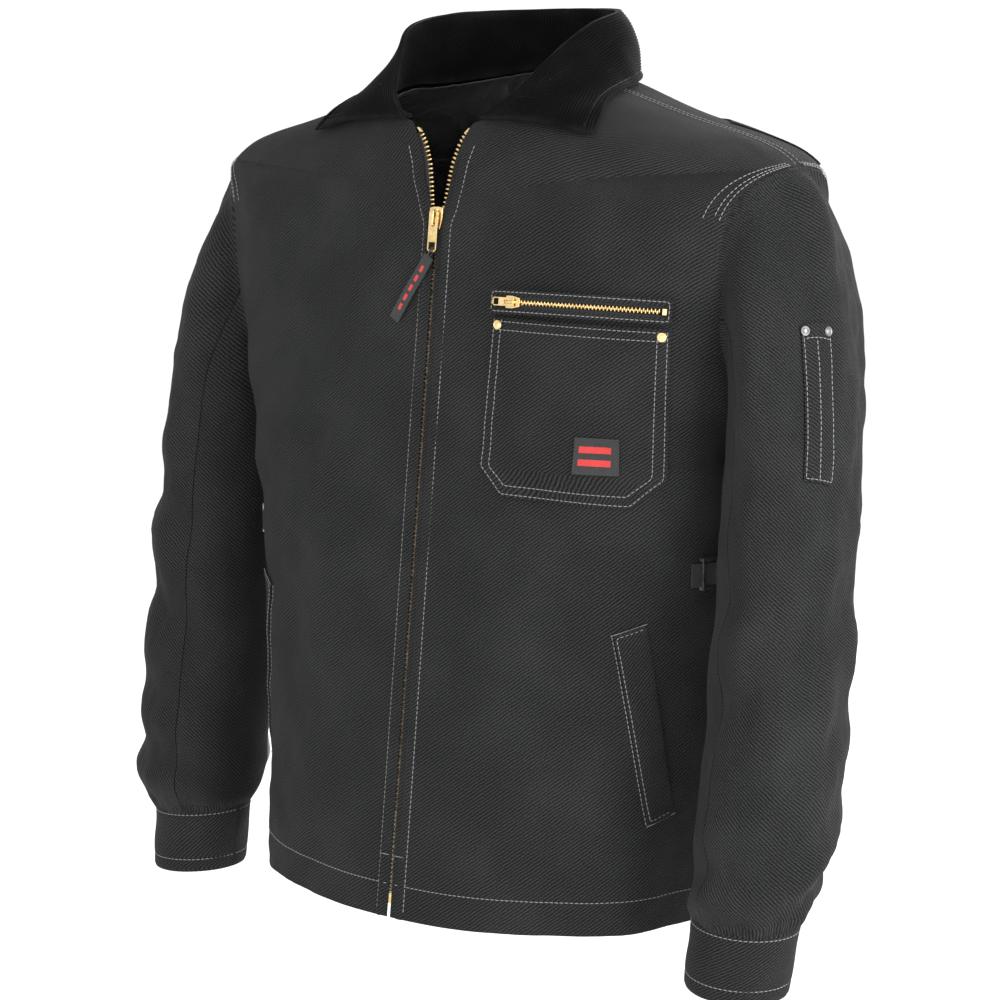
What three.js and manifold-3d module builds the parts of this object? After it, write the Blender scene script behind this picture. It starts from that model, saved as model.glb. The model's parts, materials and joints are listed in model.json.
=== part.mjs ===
// Cotton duck work jacket: zip front, corduroy collar, chest, hand and sleeve pockets.
// Millimetres, +Z up. The front faces -Y and the wearer's left is +X.
// The origin is midway between the two points where the shoulder seams meet the neck.
import * as THREE from 'three';
import { mergeVertices } from 'three/addons/utils/BufferGeometryUtils.js';
import Module from 'manifold-3d';

const wasm = await Module();
wasm.setup();

// ---- Driving sizes ----
const bodyLength = 657;        // neck point to hem at the side
const hemHalf = 206;           // half widths of the body
const waistHalf = 221;
const chestHalf = 248;
const shoulderHalf = 271;
const neckHalf = 88;
const shoulderDrop = 62;       // neck point down to the shoulder tip
const zipSetback = -81.3;      // the front zip is a straight line: y = zipSetback + zipLean * z
const zipLean = 0.1201;
const sleeveReach = 565;       // shoulder tip down to the cuff seam
const cuffHeight = 54;
const cuffHalfWidth = 42;
const collarStand = 1.0;       // height factor of the collar's roll line
const clothThick = 1.4;
const liningThick = 0.9;
const layerGap = 0.95;         // air between two layers of cloth on a curved part
const flatGap = 0.4;           // air between two layers where they lie flat
const seamGap = 0.5;           // two panels that are sewn edge to edge
const hemDepth = 35;
const armholeAngle = 15;       // degrees the armhole reaches forward and back of the side line
const toothPitch = 8;
const zipBottomRise = 6;       // the chain ends this far above the hem
const sliderTop = -97;         // height of the front slider's top edge
const edgeFromZip = 8;         // cloth edge beside the closed teeth
const tapeWidth = 12.5;
const chestZipHeight = -167;
const chestZipStart = 64;
const chestZipEnd = 214;
const chestZipPanel = 19;      // height of the cloth window round the chest zip
const pocketTop = chestZipHeight - 12;
const pocketHeight = 138;
const pocketBottom = pocketTop - pocketHeight;
const pocketCut = 22;          // the cut corners

const rad = THREE.MathUtils.degToRad;
const V = (x, y, z) => new THREE.Vector3(x, y, z);
const lerp = THREE.MathUtils.lerp;
const zipY = (z) => zipSetback + zipLean * z;

// ---- Materials ----
const cloth = (color) => new THREE.MeshStandardMaterial({ color, roughness: 0.92, metalness: 0 });
const metal = (color, roughness) => new THREE.MeshStandardMaterial({ color, roughness, metalness: 1 });
const duck = () => cloth(0x2b2c2d);
const corduroy = () => cloth(0x0c0c0d);
const satin = () => new THREE.MeshStandardMaterial({ color: 0x101012, roughness: 0.45, metalness: 0 });
const brass = () => metal(0xd8b46a, 0.28);
const steel = () => metal(0x8c9298, 0.4);

// ---- Sections of the body, from the hem up to the neck seam ----
function section(half, front, side, back, depth, square, mid) {
  return { half, front, side, back, depth, square, mid };
}
const sections = [
  section(hemHalf, -bodyLength - 5, -bodyLength, -bodyLength - 3, 140, 2.4, 4),
  section(hemHalf + 6, -bodyLength + 97, -bodyLength + 101, -bodyLength + 97, 139, 2.4, 4),
  section(waistHalf, -430, -428, -430, 137, 2.6, 4),
  section(chestHalf - 14, -305, -300, -300, 135, 3.0, 4),
  section(chestHalf, -205, -195, -195, 133, 3.3, 4),
  section((chestHalf + shoulderHalf) / 2 + 2.5, -135, -shoulderDrop - 56, -shoulderDrop - 53, 128, 3.3, 4),
  section(shoulderHalf, -99, -shoulderDrop - 12, -shoulderDrop - 12, 119, 3.0, 4),
  section(shoulderHalf - 12, -85, -shoulderDrop + 6, -shoulderDrop + 9, 114, 2.9, 4),
  section(shoulderHalf - 43, -72, -shoulderDrop + 20, -37, 107, 2.8, 4),
  section(neckHalf + 82, -54, -26, -12, 96, 2.7, 4),
  section(neckHalf + 30, -40, -9, 8, 84, 2.8, 2),
  section(neckHalf, -34, 0, 14, 76, 2.8, 0),
];
const neckRow = sections.length - 1;
const tipRow = 6.5;
const underarmRow = 3.1;
const armholeMid = (tipRow + underarmRow) / 2;
const armholeHalf = (tipRow - underarmRow) / 2;

// A cubic through the values of a list at a fractional place in it.
function along(list, key, place) {
  const at = THREE.MathUtils.clamp(place, 0, list.length - 1);
  const i = Math.min(Math.floor(at), list.length - 2);
  const f = at - i;
  const a = list[Math.max(i - 1, 0)][key];
  const b = list[i][key];
  const c = list[i + 1][key];
  const d = list[Math.min(i + 2, list.length - 1)][key];
  return 0.5 * (2 * b + (c - a) * f + (2 * a - 5 * b + 4 * c - d) * f * f + (3 * b - a - 3 * c + d) * f ** 3);
}

// A point of the body: angle 0 is the front, 90 degrees the wearer's left side, 180 the back.
function bodyPoint(angle, row) {
  const get = (key) => along(sections, key, row);
  const sin = Math.sin(angle);
  const cos = Math.cos(angle);
  const isFront = cos > 0;
  const mid = get('mid');
  const depth = isFront ? mid - zipY(get('front')) : get('depth') - mid;
  const square = get('square');
  const r = ((Math.abs(sin) / get('half')) ** square + (Math.abs(cos) / depth) ** square) ** (-1 / square);
  const far = isFront ? get('front') : get('back');
  const z = get('side') + (far - get('side')) * cos * cos;
  return V(r * sin, mid - r * cos, z);
}

// The same point moved outwards, square to the cloth.
function offsetPoint(point, u, v, offset, step) {
  const du = point(u + step, v).sub(point(u - step, v));
  const dv = point(u, v + step).sub(point(u, v - step));
  return point(u, v).addScaledVector(du.cross(dv).normalize(), offset);
}
const body = (angle, row, offset) => offsetPoint(bodyPoint, angle, row, offset, 1e-3);

// The angle at which a section is x wide on the front.
function angleAt(x, row) {
  const half = along(sections, 'half', row);
  const depth = along(sections, 'mid', row) - zipY(along(sections, 'front', row));
  const square = along(sections, 'square', row);
  return Math.atan2(x, depth * (1 - (Math.abs(x) / half) ** square) ** (1 / square));
}

// Angle and row of the front's point at x and z.
function findFront(x, z) {
  let low = 0;
  let high = neckRow;
  for (let i = 0; i < 36; i += 1) {
    const row = (low + high) / 2;
    const reach = along(sections, 'half', row) > Math.abs(x);
    if (reach && bodyPoint(angleAt(x, row), row).z < z) low = row;
    else high = row;
  }
  return [angleAt(x, low), low];
}
const front = (x, z, offset) => body(...findFront(x, z), offset);

// ---- Solids from sheets ----
// A closed sheet with an outer and an inner face. point(u, v, face) gives its corners.
function sheet(us, vs, loop, point) {
  const vertices = [];
  const triangles = [];
  const columns = us.length;
  const spans = loop ? columns : columns - 1;
  for (const face of [1, 0]) {
    for (const v of vs) {
      for (const u of us) vertices.push(...point(u, v, face).toArray());
    }
  }
  const id = (face, j, i) => (1 - face) * columns * vs.length + j * columns + (i % columns);
  const quad = (a, b, c, d) => triangles.push(a, b, c, a, c, d);
  for (let j = 0; j < vs.length - 1; j += 1) {
    for (let i = 0; i < spans; i += 1) {
      quad(id(1, j, i), id(1, j, i + 1), id(1, j + 1, i + 1), id(1, j + 1, i));
      quad(id(0, j, i), id(0, j + 1, i), id(0, j + 1, i + 1), id(0, j, i + 1));
    }
  }
  for (let i = 0; i < spans; i += 1) {
    const top = vs.length - 1;
    quad(id(0, 0, i), id(0, 0, i + 1), id(1, 0, i + 1), id(1, 0, i));
    quad(id(1, top, i), id(1, top, i + 1), id(0, top, i + 1), id(0, top, i));
  }
  if (!loop) {
    const last = columns - 1;
    for (let j = 0; j < vs.length - 1; j += 1) {
      quad(id(1, j, 0), id(1, j + 1, 0), id(0, j + 1, 0), id(0, j, 0));
      quad(id(0, j, last), id(0, j + 1, last), id(1, j + 1, last), id(1, j, last));
    }
  }
  return facingOut(new THREE.BufferGeometry()
    .setAttribute('position', new THREE.Float32BufferAttribute(vertices, 3))
    .setIndex(triangles));
}

function signedVolume(geometry) {
  const at = (i) => V().fromBufferAttribute(geometry.attributes.position, geometry.index.array[i]);
  let volume = 0;
  for (let i = 0; i < geometry.index.count; i += 3) volume += at(i).dot(at(i + 1).cross(at(i + 2)));
  return volume / 6;
}

function facingOut(geometry) {
  if (signedVolume(geometry) < 0) geometry.index.array.reverse();
  geometry.computeVertexNormals();
  return geometry;
}

function welded(geometry) {
  const bare = geometry.clone();
  bare.deleteAttribute('normal');
  bare.deleteAttribute('uv');
  return mergeVertices(bare, 1e-4);
}

// An outline with a thickness, bent so that its x, y and z are sent through place.
function bent(outline, low, high, place) {
  const flat = new THREE.ExtrudeGeometry(outline, { depth: high - low, bevelEnabled: false });
  const geometry = welded(flat);
  const position = geometry.attributes.position;
  for (let i = 0; i < position.count; i += 1) {
    const p = place(position.getX(i), position.getY(i), position.getZ(i) + low);
    position.setXYZ(i, p.x, p.y, p.z);
  }
  return facingOut(geometry);
}

function outlineOf(corners) {
  const points = corners.map(([x, y]) => new THREE.Vector2(x, y));
  return new THREE.Shape(THREE.ShapeUtils.isClockWise(points) ? points.reverse() : points);
}

function steps(from, to, count) {
  return Array.from({ length: count + 1 }, (_, i) => lerp(from, to, i / count));
}

function toSolid(geometry) {
  const shape = welded(geometry);
  return new wasm.Manifold(new wasm.Mesh({
    numProp: 3,
    vertProperties: new Float32Array(shape.attributes.position.array),
    triVerts: new Uint32Array(shape.index.array),
  }));
}

function toGeometry(solid) {
  const mesh = solid.getMesh();
  return new THREE.BufferGeometry()
    .setAttribute('position', new THREE.Float32BufferAttribute(Array.from(mesh.vertProperties), 3))
    .setIndex(Array.from(mesh.triVerts));
}

function joined(geometries) {
  return toGeometry(geometries.map(toSolid).reduce((sum, next) => sum.add(next)));
}

function cut(geometry, tool) {
  return toGeometry(toSolid(geometry).subtract(toSolid(tool)));
}

const jacket = new THREE.Group();
function add(name, geometry, material, parent = jacket) {
  const mesh = new THREE.Mesh(geometry, material);
  mesh.name = name;
  parent.add(mesh);
  return mesh;
}

// ---- Front opening ----
const zipBottom = -bodyLength + zipBottomRise;
// How far the open chain stands from the centre line, by height above the slider's top.
const openChain = [
  [-14, 0], [-9, 1.2], [-5.5, 3.1], [0, 5], [24, 8.5],
  [35, 10.5], [50, 16], [60, 22.5], [66, 29],
];
function opening(z) {
  const rise = z - sliderTop;
  const next = openChain.findIndex(([at]) => at > rise);
  if (next === 0) return 0;
  const [low, high] = next < 0 ? openChain.slice(-2) : [openChain[next - 1], openChain[next]];
  return lerp(low[1], high[1], (rise - low[0]) / (high[0] - low[0]));
}
const neckFront = sliderTop + 64;   // where the chain ends below the collar

// ---- Rows of the body panels ----
const hemTurnHigh = -layerGap;
const hemTurnLow = hemTurnHigh - liningThick;
const armholeSteps = 10;
const armholeRows = steps(Math.PI, 0, armholeSteps).map((turn) => armholeMid + armholeHalf * Math.cos(turn));
const shoulderRows = [tipRow, 6.8, 7.2, 7.8, 8.6, 9.7, neckRow];
const lowerRows = steps(0, underarmRow, 6);
const panelRows = [...lowerRows, ...armholeRows.slice(1), ...shoulderRows.slice(1)];

function armholeReach(row) {
  const from = (row - armholeMid) / armholeHalf;
  return Math.abs(from) >= 1 ? 0 : rad(armholeAngle) * Math.sqrt(1 - from * from);
}
// The lining hangs further inside at the ridge of the shoulder.
const shoulderSlack = (row) => 1.5 * Math.exp(-(((row - tipRow) / 0.9) ** 2));
const gapAngle = (row) => seamGap / 2 / along(sections, 'half', row);
const sideAngle = (row) => Math.PI / 2 - armholeReach(row) - gapAngle(row);
const edgeAngle = (row, inset) => angleAt(opening(along(sections, 'front', row)) + inset, row);

// Columns of a front, from its zip edge to the side seam or the armhole.
const frontColumns = [0, 0.12, 0.26, 0.4, 0.52, 0.64, 0.76, 0.86, 0.94, 1];
// Columns of the back, from the middle to one side: closer together where the back turns the corner.
const halfBack = [0.22, 0.4, 0.52, 0.63, 0.74, 0.87, 1];
const backColumns = [...halfBack.map((u) => -u).reverse(), 0, ...halfBack];
// One layer of a front, on side +1 (wearer's left) or -1.
function frontLayer(side, low, high, inset, rows = panelRows, columns = frontColumns) {
  return sheet(columns, rows, false, (u, row, face) => {
    const edge = edgeAngle(row, edgeFromZip);
    const angle = u === 0 ? edgeAngle(row, edgeFromZip + inset) : lerp(edge, sideAngle(row), u);
    return body(side * angle, row, (face ? high : low) - (low < hemTurnLow ? shoulderSlack(row) : 0));
  });
}
const backPoint = (u, row, offset) => body(Math.PI - u * sideAngle(row), row, offset);
function backLayer(low, high, rows = panelRows) {
  return sheet(backColumns, rows, false, (u, row, face) =>
    backPoint(u, row, (face ? high : low) - (low < hemTurnLow ? shoulderSlack(row) : 0)));
}

// ---- Body shell, lining, facings and hem ----
const liningHigh = -2 * layerGap - clothThick - flatGap;
const liningLow = liningHigh - liningThick;
const liningRows = panelRows.filter((row) => row > 0.3);
const hemRow = hemDepth / 101;
const hemRows = steps(0, hemRow, 2);
const facingHigh = -1.7;
const facingRows = panelRows.filter((row) => row > hemRow && row < neckRow);
const sides = [['left', 1], ['right', -1]];
for (const [name, side] of sides) {
  add(`${name}_front_panel`, frontLayer(side, 0, clothThick, 0), duck());
  const lining = frontLayer(side, liningLow, liningHigh, 0, liningRows, frontColumns.slice(1));
  add(`${name}_front_lining`, lining, satin());
  const facingColumns = frontColumns.slice(0, 3);
  const facing = frontLayer(side, facingHigh - liningThick, facingHigh, 1, facingRows, facingColumns);
  add(`${name}_front_facing`, facing, duck());
  add(`${name}_front_hem_turn`, frontLayer(side, hemTurnLow, hemTurnHigh, 10, hemRows), duck());
}
add('back_panel', backLayer(0, clothThick), duck());
add('back_lining', backLayer(liningLow, liningHigh, liningRows), satin());
add('back_hem_turn', backLayer(hemTurnLow, hemTurnHigh, hemRows), duck());

// Action pleats: a second layer of the back between the shoulder blade and the armhole.
const pleatLow = clothThick + layerGap;
for (const [name, side] of sides) {
  const rows = panelRows.filter((row) => row >= 3.4 && row <= 8.7);
  const columns = backColumns.filter((u) => side * u > 0.5 && side * u < 0.9);
  add(`${name}_back_pleat`, sheet(columns, rows, false, (u, row, face) =>
    backPoint(u, row, pleatLow + (face ? 1 : 0))), duck());
}

// ---- Collar: a stand from the neck seam up to the roll line, and a leaf that folds over it ----
const rollLine = [
  [0.432, -89, -27], [0.682, -73, -6], [0.886, -42, 26], [1.023, -12, 47],
  [0.955, 34, 57], [0.568, 66, 60], [0, 78, 61],
].map(([share, y, z]) => ({ x: share * neckHalf, y, z: z > 0 ? z * collarStand : z }));
// The leaf's edge on the body: distance outside the neck and angle, from the collar's point to the back.
const leafEdge = [[69, 60], [42, 72], [26, 90], [20, 110], [18, 130], [16, 152], [16, 180]];
const collarThick = 2.6;
function rollPoint(u) {
  const place = (rollLine.length - 1) * (1 - Math.abs(u));
  const get = (key) => along(rollLine, key, place);
  return V(Math.sign(u) * get('x'), get('y'), get('z'));
}
function seamPoint(u) {
  const angle = lerp(Math.PI, edgeAngle(neckRow, edgeFromZip + 1), Math.abs(u));
  return body(Math.sign(u) * angle, neckRow, 0).add(V(0, 0, seamGap + clothThick + layerGap));
}
const edgeTable = leafEdge.map(([out, angle]) => ({ half: neckHalf + out, angle }));
function leafPoint(u) {
  const place = (edgeTable.length - 1) * (1 - Math.abs(u));
  const half = along(edgeTable, 'half', place);
  const angle = rad(along(edgeTable, 'angle', place));
  let row = tipRow + 1;
  for (let i = 0; i < 40; i += 1) {
    const p = bodyPoint(angle, row);
    row += THREE.MathUtils.clamp((Math.hypot(p.x, p.y) - half) / 120, -0.3, 0.3);
    row = THREE.MathUtils.clamp(row, tipRow, neckRow);
  }
  return body(Math.sign(u) * angle, row, clothThick + 4.5);
}
function collarStandPoint(u, v) {
  return seamPoint(u).lerp(rollPoint(u), v);
}
function collarLeafPoint(u, v) {
  const bulge = Math.sin(Math.PI * Math.min(v * 1.1, 1)) * 5;
  const p = rollPoint(u).lerp(leafPoint(u), v);
  const outwards = V(p.x, p.y - 5, 0).normalize();
  return p.addScaledVector(outwards, bulge + 2.6 * (1 - v)).add(V(0, 0, bulge * 0.7));
}
const collarTurns = [...steps(-0.999, 0, 11), ...steps(0, 0.999, 11).slice(1)].map((u) => u || 1e-6);
add('collar_stand', sheet(collarTurns, [0, 0.35, 0.7, 0.93], false, (u, v, face) =>
  offsetPoint(collarStandPoint, u, v, face ? 0 : -collarThick + 1, 1e-3)), corduroy());
add('collar_leaf', sheet(collarTurns, [0, 0.15, 0.35, 0.6, 0.85, 1], false, (u, v, face) =>
  offsetPoint(collarLeafPoint, u, v, face ? collarThick - 0.6 : 0, 1e-3)), corduroy());

// ---- Sleeves ----
// Stations down the sleeve: its outer and inner lines in x and z, its mid y and its half depth.
const shoulderZ = -shoulderDrop;
const cuffTop = shoulderZ - sleeveReach;
const cuffX = chestHalf - 8 + cuffHalfWidth;   // the cuff hangs a little outside the sleeve's inner line
const station = (outX, outFall, inX, inFall, y, depth) => ({
  outX, outZ: lerp(shoulderZ, cuffTop, outFall), inX, inZ: lerp(shoulderZ, cuffTop, inFall), y, depth,
});
const stations = [
  station(shoulderHalf + 2, 0, chestHalf - 5, 0.385, 8, 66),
  station(shoulderHalf + 29, 0.04, chestHalf - 8, 0.405, 2, 74),
  station(shoulderHalf + 52, 0.15, chestHalf - 10, 0.432, -6, 75),
  station(shoulderHalf + 64, 0.304, chestHalf - 12, 0.467, -16, 71),
  station(shoulderHalf + 67, 0.51, chestHalf - 12, 0.578, -32, 68),
  station(shoulderHalf + 69, 0.75, chestHalf - 12, 0.766, -46, 66),
  station(shoulderHalf + 65, 0.9, chestHalf - 11, 0.91, -60, 64),
  station(shoulderHalf + 61, 0.962, chestHalf - 11, 0.97, -68, 57),
  station(cuffX + cuffHalfWidth, 0.996, cuffX - cuffHalfWidth, 0.999, -74, cuffHalfWidth),
];
const lastStation = stations.length - 1;

// The armhole's edge by turn: 0 at the shoulder tip, 90 degrees in front, 180 under the arm.
function armholePoint(turn) {
  const row = armholeMid + armholeHalf * Math.cos(turn);
  const angle = Math.PI / 2 - rad(armholeAngle) * Math.sin(turn);
  return bodyPoint(angle, row);
}
function sleevePoint(turn, place) {
  const get = (key) => along(stations, key, place);
  const out = V(get('outX'), get('y'), get('outZ'));
  const inn = V(get('inX'), get('y'), get('inZ'));
  const tube = out.clone().add(inn).multiplyScalar(0.5)
    .addScaledVector(out.sub(inn), Math.cos(turn) / 2)
    .add(V(0, -get('depth') * Math.sin(turn), 0));
  const seam = armholePoint(turn).add(V(seamGap + 2 * clothThick, 0, 0));
  return seam.lerp(tube, THREE.MathUtils.smoothstep(place, 0, 1.6));
}
const sleeve = (turn, place, offset) => offsetPoint(sleevePoint, turn, place, offset, 1e-3);
const turns = (from, to) => steps(from, to, to - from).map((i) => (Math.PI * i) / armholeSteps);
const around = turns(0, 2 * armholeSteps - 1);
const sleevePlaces = [0, 0.5, 1, 1.6, 2.4, 3.3, 4.3, 5.3, 6.2, 7, 7.5, lastStation];
const mirrored = (side) => (p) => V(side * p.x, p.y, p.z);
const sleeveSeam = seamGap / 2 / 60;

for (const [name, side] of sides) {
  const mirror = mirrored(side);
  const half = (from, to) => sheet(turns(from, to), sleevePlaces, false, (turn, place, face) => {
    const step = Math.round((turn * armholeSteps) / Math.PI);
    const shift = step === from ? sleeveSeam : step === to ? -sleeveSeam : 0;
    return mirror(sleeve(turn + shift, place, face ? clothThick : 0));
  });
  add(`${name}_sleeve_top`, half(-6, 6), duck());
  add(`${name}_sleeve_under`, half(6, 14), duck());
  add(`${name}_sleeve_lining`, sheet(around, sleevePlaces.slice(1, -2), true, (turn, place, face) =>
    mirror(sleeve(turn, place, face ? -layerGap : -layerGap - liningThick))), satin());
}

// ---- Cuffs ----
const cuffCentre = [[cuffX, -74], [cuffX - 3, -83]];   // x and y at the top and at the bottom edge
for (const [name, side] of sides) {
  add(`${name}_cuff`, sheet(around, [0, 1], true, (turn, v, face) => {
    const half = cuffHalfWidth - 2 * v + (face ? 0 : -2.4);
    const x = lerp(cuffCentre[0][0], cuffCentre[1][0], v) + half * Math.cos(turn);
    const y = lerp(cuffCentre[0][1], cuffCentre[1][1], v) - half * Math.sin(turn);
    const slope = -0.06 * half * Math.cos(turn);
    return V(side * x, y, cuffTop - 3 - cuffHeight * v + slope);
  }), duck());
}

// ---- Front zip ----
const beadInner = 1.6;
const beadOuter = 3.2;
const toothReach = 1.0;       // a tooth passes the centre line by this much
const toothHalf = toothPitch * 0.21;
const teethLow = -1.8;
const teethHigh = 0.9;
const tapeLow = -1.3;
const tapeHigh = -0.8;
const onFront = (side) => (x, z, offset) => {
  const p = front(x, z, offset);
  return V(side * p.x, p.y, p.z);
};
function combOutline(low, high, shift) {
  const inner = [];
  const outer = [];
  for (let z = low + shift + toothPitch / 2; z < high - toothHalf; z += toothPitch) {
    const root = opening(z) + beadInner;
    const tip = opening(z) - toothReach;
    inner.push([root, z - toothHalf], [tip, z - toothHalf * 0.9]);
    inner.push([tip, z + toothHalf * 0.9], [root, z + toothHalf]);
  }
  const turns = [neckFront - 6, neckFront - 16, sliderTop + 24, sliderTop, sliderTop - 6, sliderTop - 14];
  for (const z of [high, ...turns, low]) outer.push([opening(z) + beadOuter, z]);
  return outlineOf([[opening(low) + beadInner, low], ...inner, [opening(high) + beadInner, high], ...outer]);
}
function tapeOutline(low, high) {
  const turns = [sliderTop - 14, sliderTop - 6, sliderTop, sliderTop + 24, neckFront - 16, neckFront - 10];
  const heights = [low, ...turns, high];
  const inner = heights.map((z) => [opening(z) + beadOuter + 0.3, z]);
  const outer = heights.map((z) => [opening(z) + beadOuter + 0.3 + tapeWidth, z]).reverse();
  return outlineOf([...inner, ...outer]);
}
const chainTop = neckFront - 5;
for (const [name, side] of sides) {
  const place = onFront(side);
  const shift = side > 0 ? 0 : toothPitch / 2;
  const comb = combOutline(zipBottom + 9, chainTop, shift);
  add(`${name}_zip_teeth`, bent(comb, teethLow, teethHigh, place), brass());
  add(`${name}_zip_tape`, bent(tapeOutline(zipBottom, chainTop), tapeLow, tapeHigh, place), cloth(0x0b0b0c));
  const stopInner = [chainTop + 0.5, neckFront - 1].map((z) => [opening(z) - toothReach, z]);
  const stopOuter = [neckFront - 1, chainTop + 0.5].map((z) => [opening(z) + beadInner, z]);
  const stop = outlineOf([...stopInner, ...stopOuter]);
  add(`${name}_zip_top_stop`, bent(stop, teethLow, teethHigh, place), brass());
}
const boxCorners = [[-3.1, zipBottom], [3.1, zipBottom], [3.1, zipBottom + 8.5], [-3.1, zipBottom + 8.5]];
add('zip_bottom_box', bent(outlineOf(boxCorners), teethLow, teethHigh, (x, z, offset) => {
  const p = front(Math.abs(x), z, offset);
  return V(x, p.y, p.z);
}), brass());

// ---- Sliders and pulls ----
const plateGap = 0.4;
const plateThick = 1.5;
const pinLift = 2.1;            // the pin stands this far above the top plate
// Both are drawn round the chain: x across it, y along it towards its open end, z off the cloth.
const across = new THREE.Matrix4().makeBasis(V(0, 1, 0), V(0, 0, 1), V(1, 0, 0));
function block(outline, low, high) {
  return new THREE.ExtrudeGeometry(outline, { depth: high - low, bevelEnabled: false }).translate(0, 0, low);
}
// A profile drawn in y and z, with a width along x.
function ribbed(outline, width) {
  return block(outline, -width / 2, width / 2).applyMatrix4(across);
}
function slider(size, chainLow, chainHigh) {
  const half = 6.4 * size;
  const plate = outlineOf([[-half, 0], [-half, -8 * size], [-half * 0.7, -17 * size],
    [half * 0.7, -17 * size], [half, -8 * size], [half, 0], [half * 0.4, size], [-half * 0.4, size]]);
  const post = outlineOf([[0, -5.5 * size], [1.2 * size, -3 * size], [0.8 * size, 0],
    [-0.8 * size, 0], [-1.2 * size, -3 * size]]);
  const low = chainLow - plateGap;
  const high = chainHigh + plateGap;
  const top = high + plateThick * size;
  const arch = outlineOf([
    [-14 * size, top - 0.4], [-14 * size, top + 3.4 * size], [-12 * size, top + 5 * size],
    [-3 * size, top + 5 * size], [-size, top + 3.4 * size], [-size, top - 0.4],
  ]);
  arch.holes.push(outlineOf([[-12.5 * size, top], [-2.3 * size, top],
    [-2.3 * size, top + 3.8 * size], [-12.5 * size, top + 3.8 * size]]));
  return joined([block(plate, low - plateThick * size, low), block(plate, high, top),
    block(post, low - 0.3, high + 0.3), ribbed(arch, 2.4 * size)]);
}
// A flat pull round the pin at its origin. It reaches along -y, or +y when turned.
function pull(size, length, turned) {
  const half = 4.4 * size;
  const slot = 1.7 * size;
  const y = (value) => (turned ? -value : value) * size;
  const frame = outlineOf([[-half, y(0.8)], [half, y(0.8)], [half, y(-length + 2)], [half * 0.6, y(-length)],
    [-half * 0.6, y(-length)], [-half, y(-length + 2)]]);
  frame.holes.push(outlineOf([[-slot, y(-0.8)], [slot, y(-0.8)], [slot, y(-11)], [-slot, y(-11)]]));
  const eye = length - 1.8;
  const eyeHalf = 3.3 * size;
  frame.holes.push(outlineOf([[-eyeHalf, y(-eye)], [eyeHalf, y(-eye)],
    [eyeHalf, y(-eye + 6)], [-eyeHalf, y(-eye + 6)]]));
  return block(frame, -0.8 * size, 0.8 * size);
}
const zipLine = V(0, zipLean, 1).normalize();
const zipNormal = V(0, -1, zipLean).normalize();
const zipFrame = new THREE.Matrix4().makeBasis(V(1, 0, 0), zipLine, zipNormal);
function zipGroup(height) {
  const group = new THREE.Group();
  group.quaternion.setFromRotationMatrix(zipFrame);
  group.position.set(0, zipY(height), height);
  jacket.add(group);
  return group;
}
const frontZip = zipGroup(sliderTop);
add('front_slider', slider(1, teethLow, teethHigh), brass(), frontZip);
const frontPin = teethHigh + plateGap + plateThick + pinLift;
const pullLength = 31;
const frontPull = add('front_pull', pull(1, pullLength, false), brass(), frontZip);
frontPull.position.set(0, -4, frontPin);
const tagLength = 60;
const tagWidth = 10;
const tagLoop = outlineOf([[3, -2.8], [-6, -2.8], [-6, 2.8], [3, 2.8]]);
tagLoop.holes.push(outlineOf([[2.3, -2.1], [2.3, 2.1], [-4.6, 2.1], [-4.6, -2.1]]));
const tagStrip = outlineOf([[-tagWidth / 2, -5.2], [tagWidth / 2, -5.2], [tagWidth / 2, -5.2 - tagLength],
  [-tagWidth / 2, -5.2 - tagLength]]);
const tagShape = joined([ribbed(tagLoop, 2.2), block(tagStrip, -0.6, 0.6)]);
const tag = add('front_pull_tag', tagShape, cloth(0x111112), frontPull);
tag.position.set(0, -pullLength + 0.9, 0);
tag.rotation.z = rad(-31);

// ---- Chest zip: it follows an arc round the chest ----
const chestZip = zipGroup(chestZipHeight);
function chestLocal(x, rise = 0) {
  let z = chestZipHeight + rise;
  let p = V();
  for (let i = 0; i < 4; i += 1) {
    p = front(x, z, clothThick).sub(chestZip.position);
    z -= p.dot(zipLine) - rise;
  }
  return [x, p.dot(zipNormal)];
}
const arc = circleThrough([0, 0.5, 1].map((t) => chestLocal(lerp(chestZipStart, chestZipEnd, t))));
function circleThrough([[ax, ay], [bx, by], [cx, cy]]) {
  const d = 2 * (ax * (by - cy) + bx * (cy - ay) + cx * (ay - by));
  const [a2, b2, c2] = [ax * ax + ay * ay, bx * bx + by * by, cx * cx + cy * cy];
  const x = (a2 * (by - cy) + b2 * (cy - ay) + c2 * (ay - by)) / d;
  const y = (a2 * (cx - bx) + b2 * (ax - cx) + c2 * (bx - ax)) / d;
  return { x, y, radius: Math.hypot(ax - x, ay - y) };
}
// The arc is lifted until the cloth below it is clear all along.
const chestSamples = [-chestZipPanel / 2, 0, chestZipPanel / 2].flatMap((rise) =>
  steps(chestZipStart, chestZipEnd + 2, 12).map((x) => chestLocal(x, rise)));
const chestLift = Math.max(...chestSamples.map(([x, y]) => Math.hypot(x - arc.x, y - arc.y) - arc.radius));
const arcStart = Math.asin((chestZipStart - arc.x) / arc.radius);
const arcLength = (Math.asin((chestZipEnd - arc.x) / arc.radius) - arcStart) * arc.radius;
// s runs along the arc, v up the chest, n off the cloth.
function onArc(s, v, n) {
  const angle = arcStart + s / arc.radius;
  const r = arc.radius + chestLift + n;
  return V(arc.x + r * Math.sin(angle), v, arc.y + r * Math.cos(angle));
}
const chestSize = 0.75;
const chainLow = 2.6;
const chainHigh = 4.4;
const chestToothPitch = 7;
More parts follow.
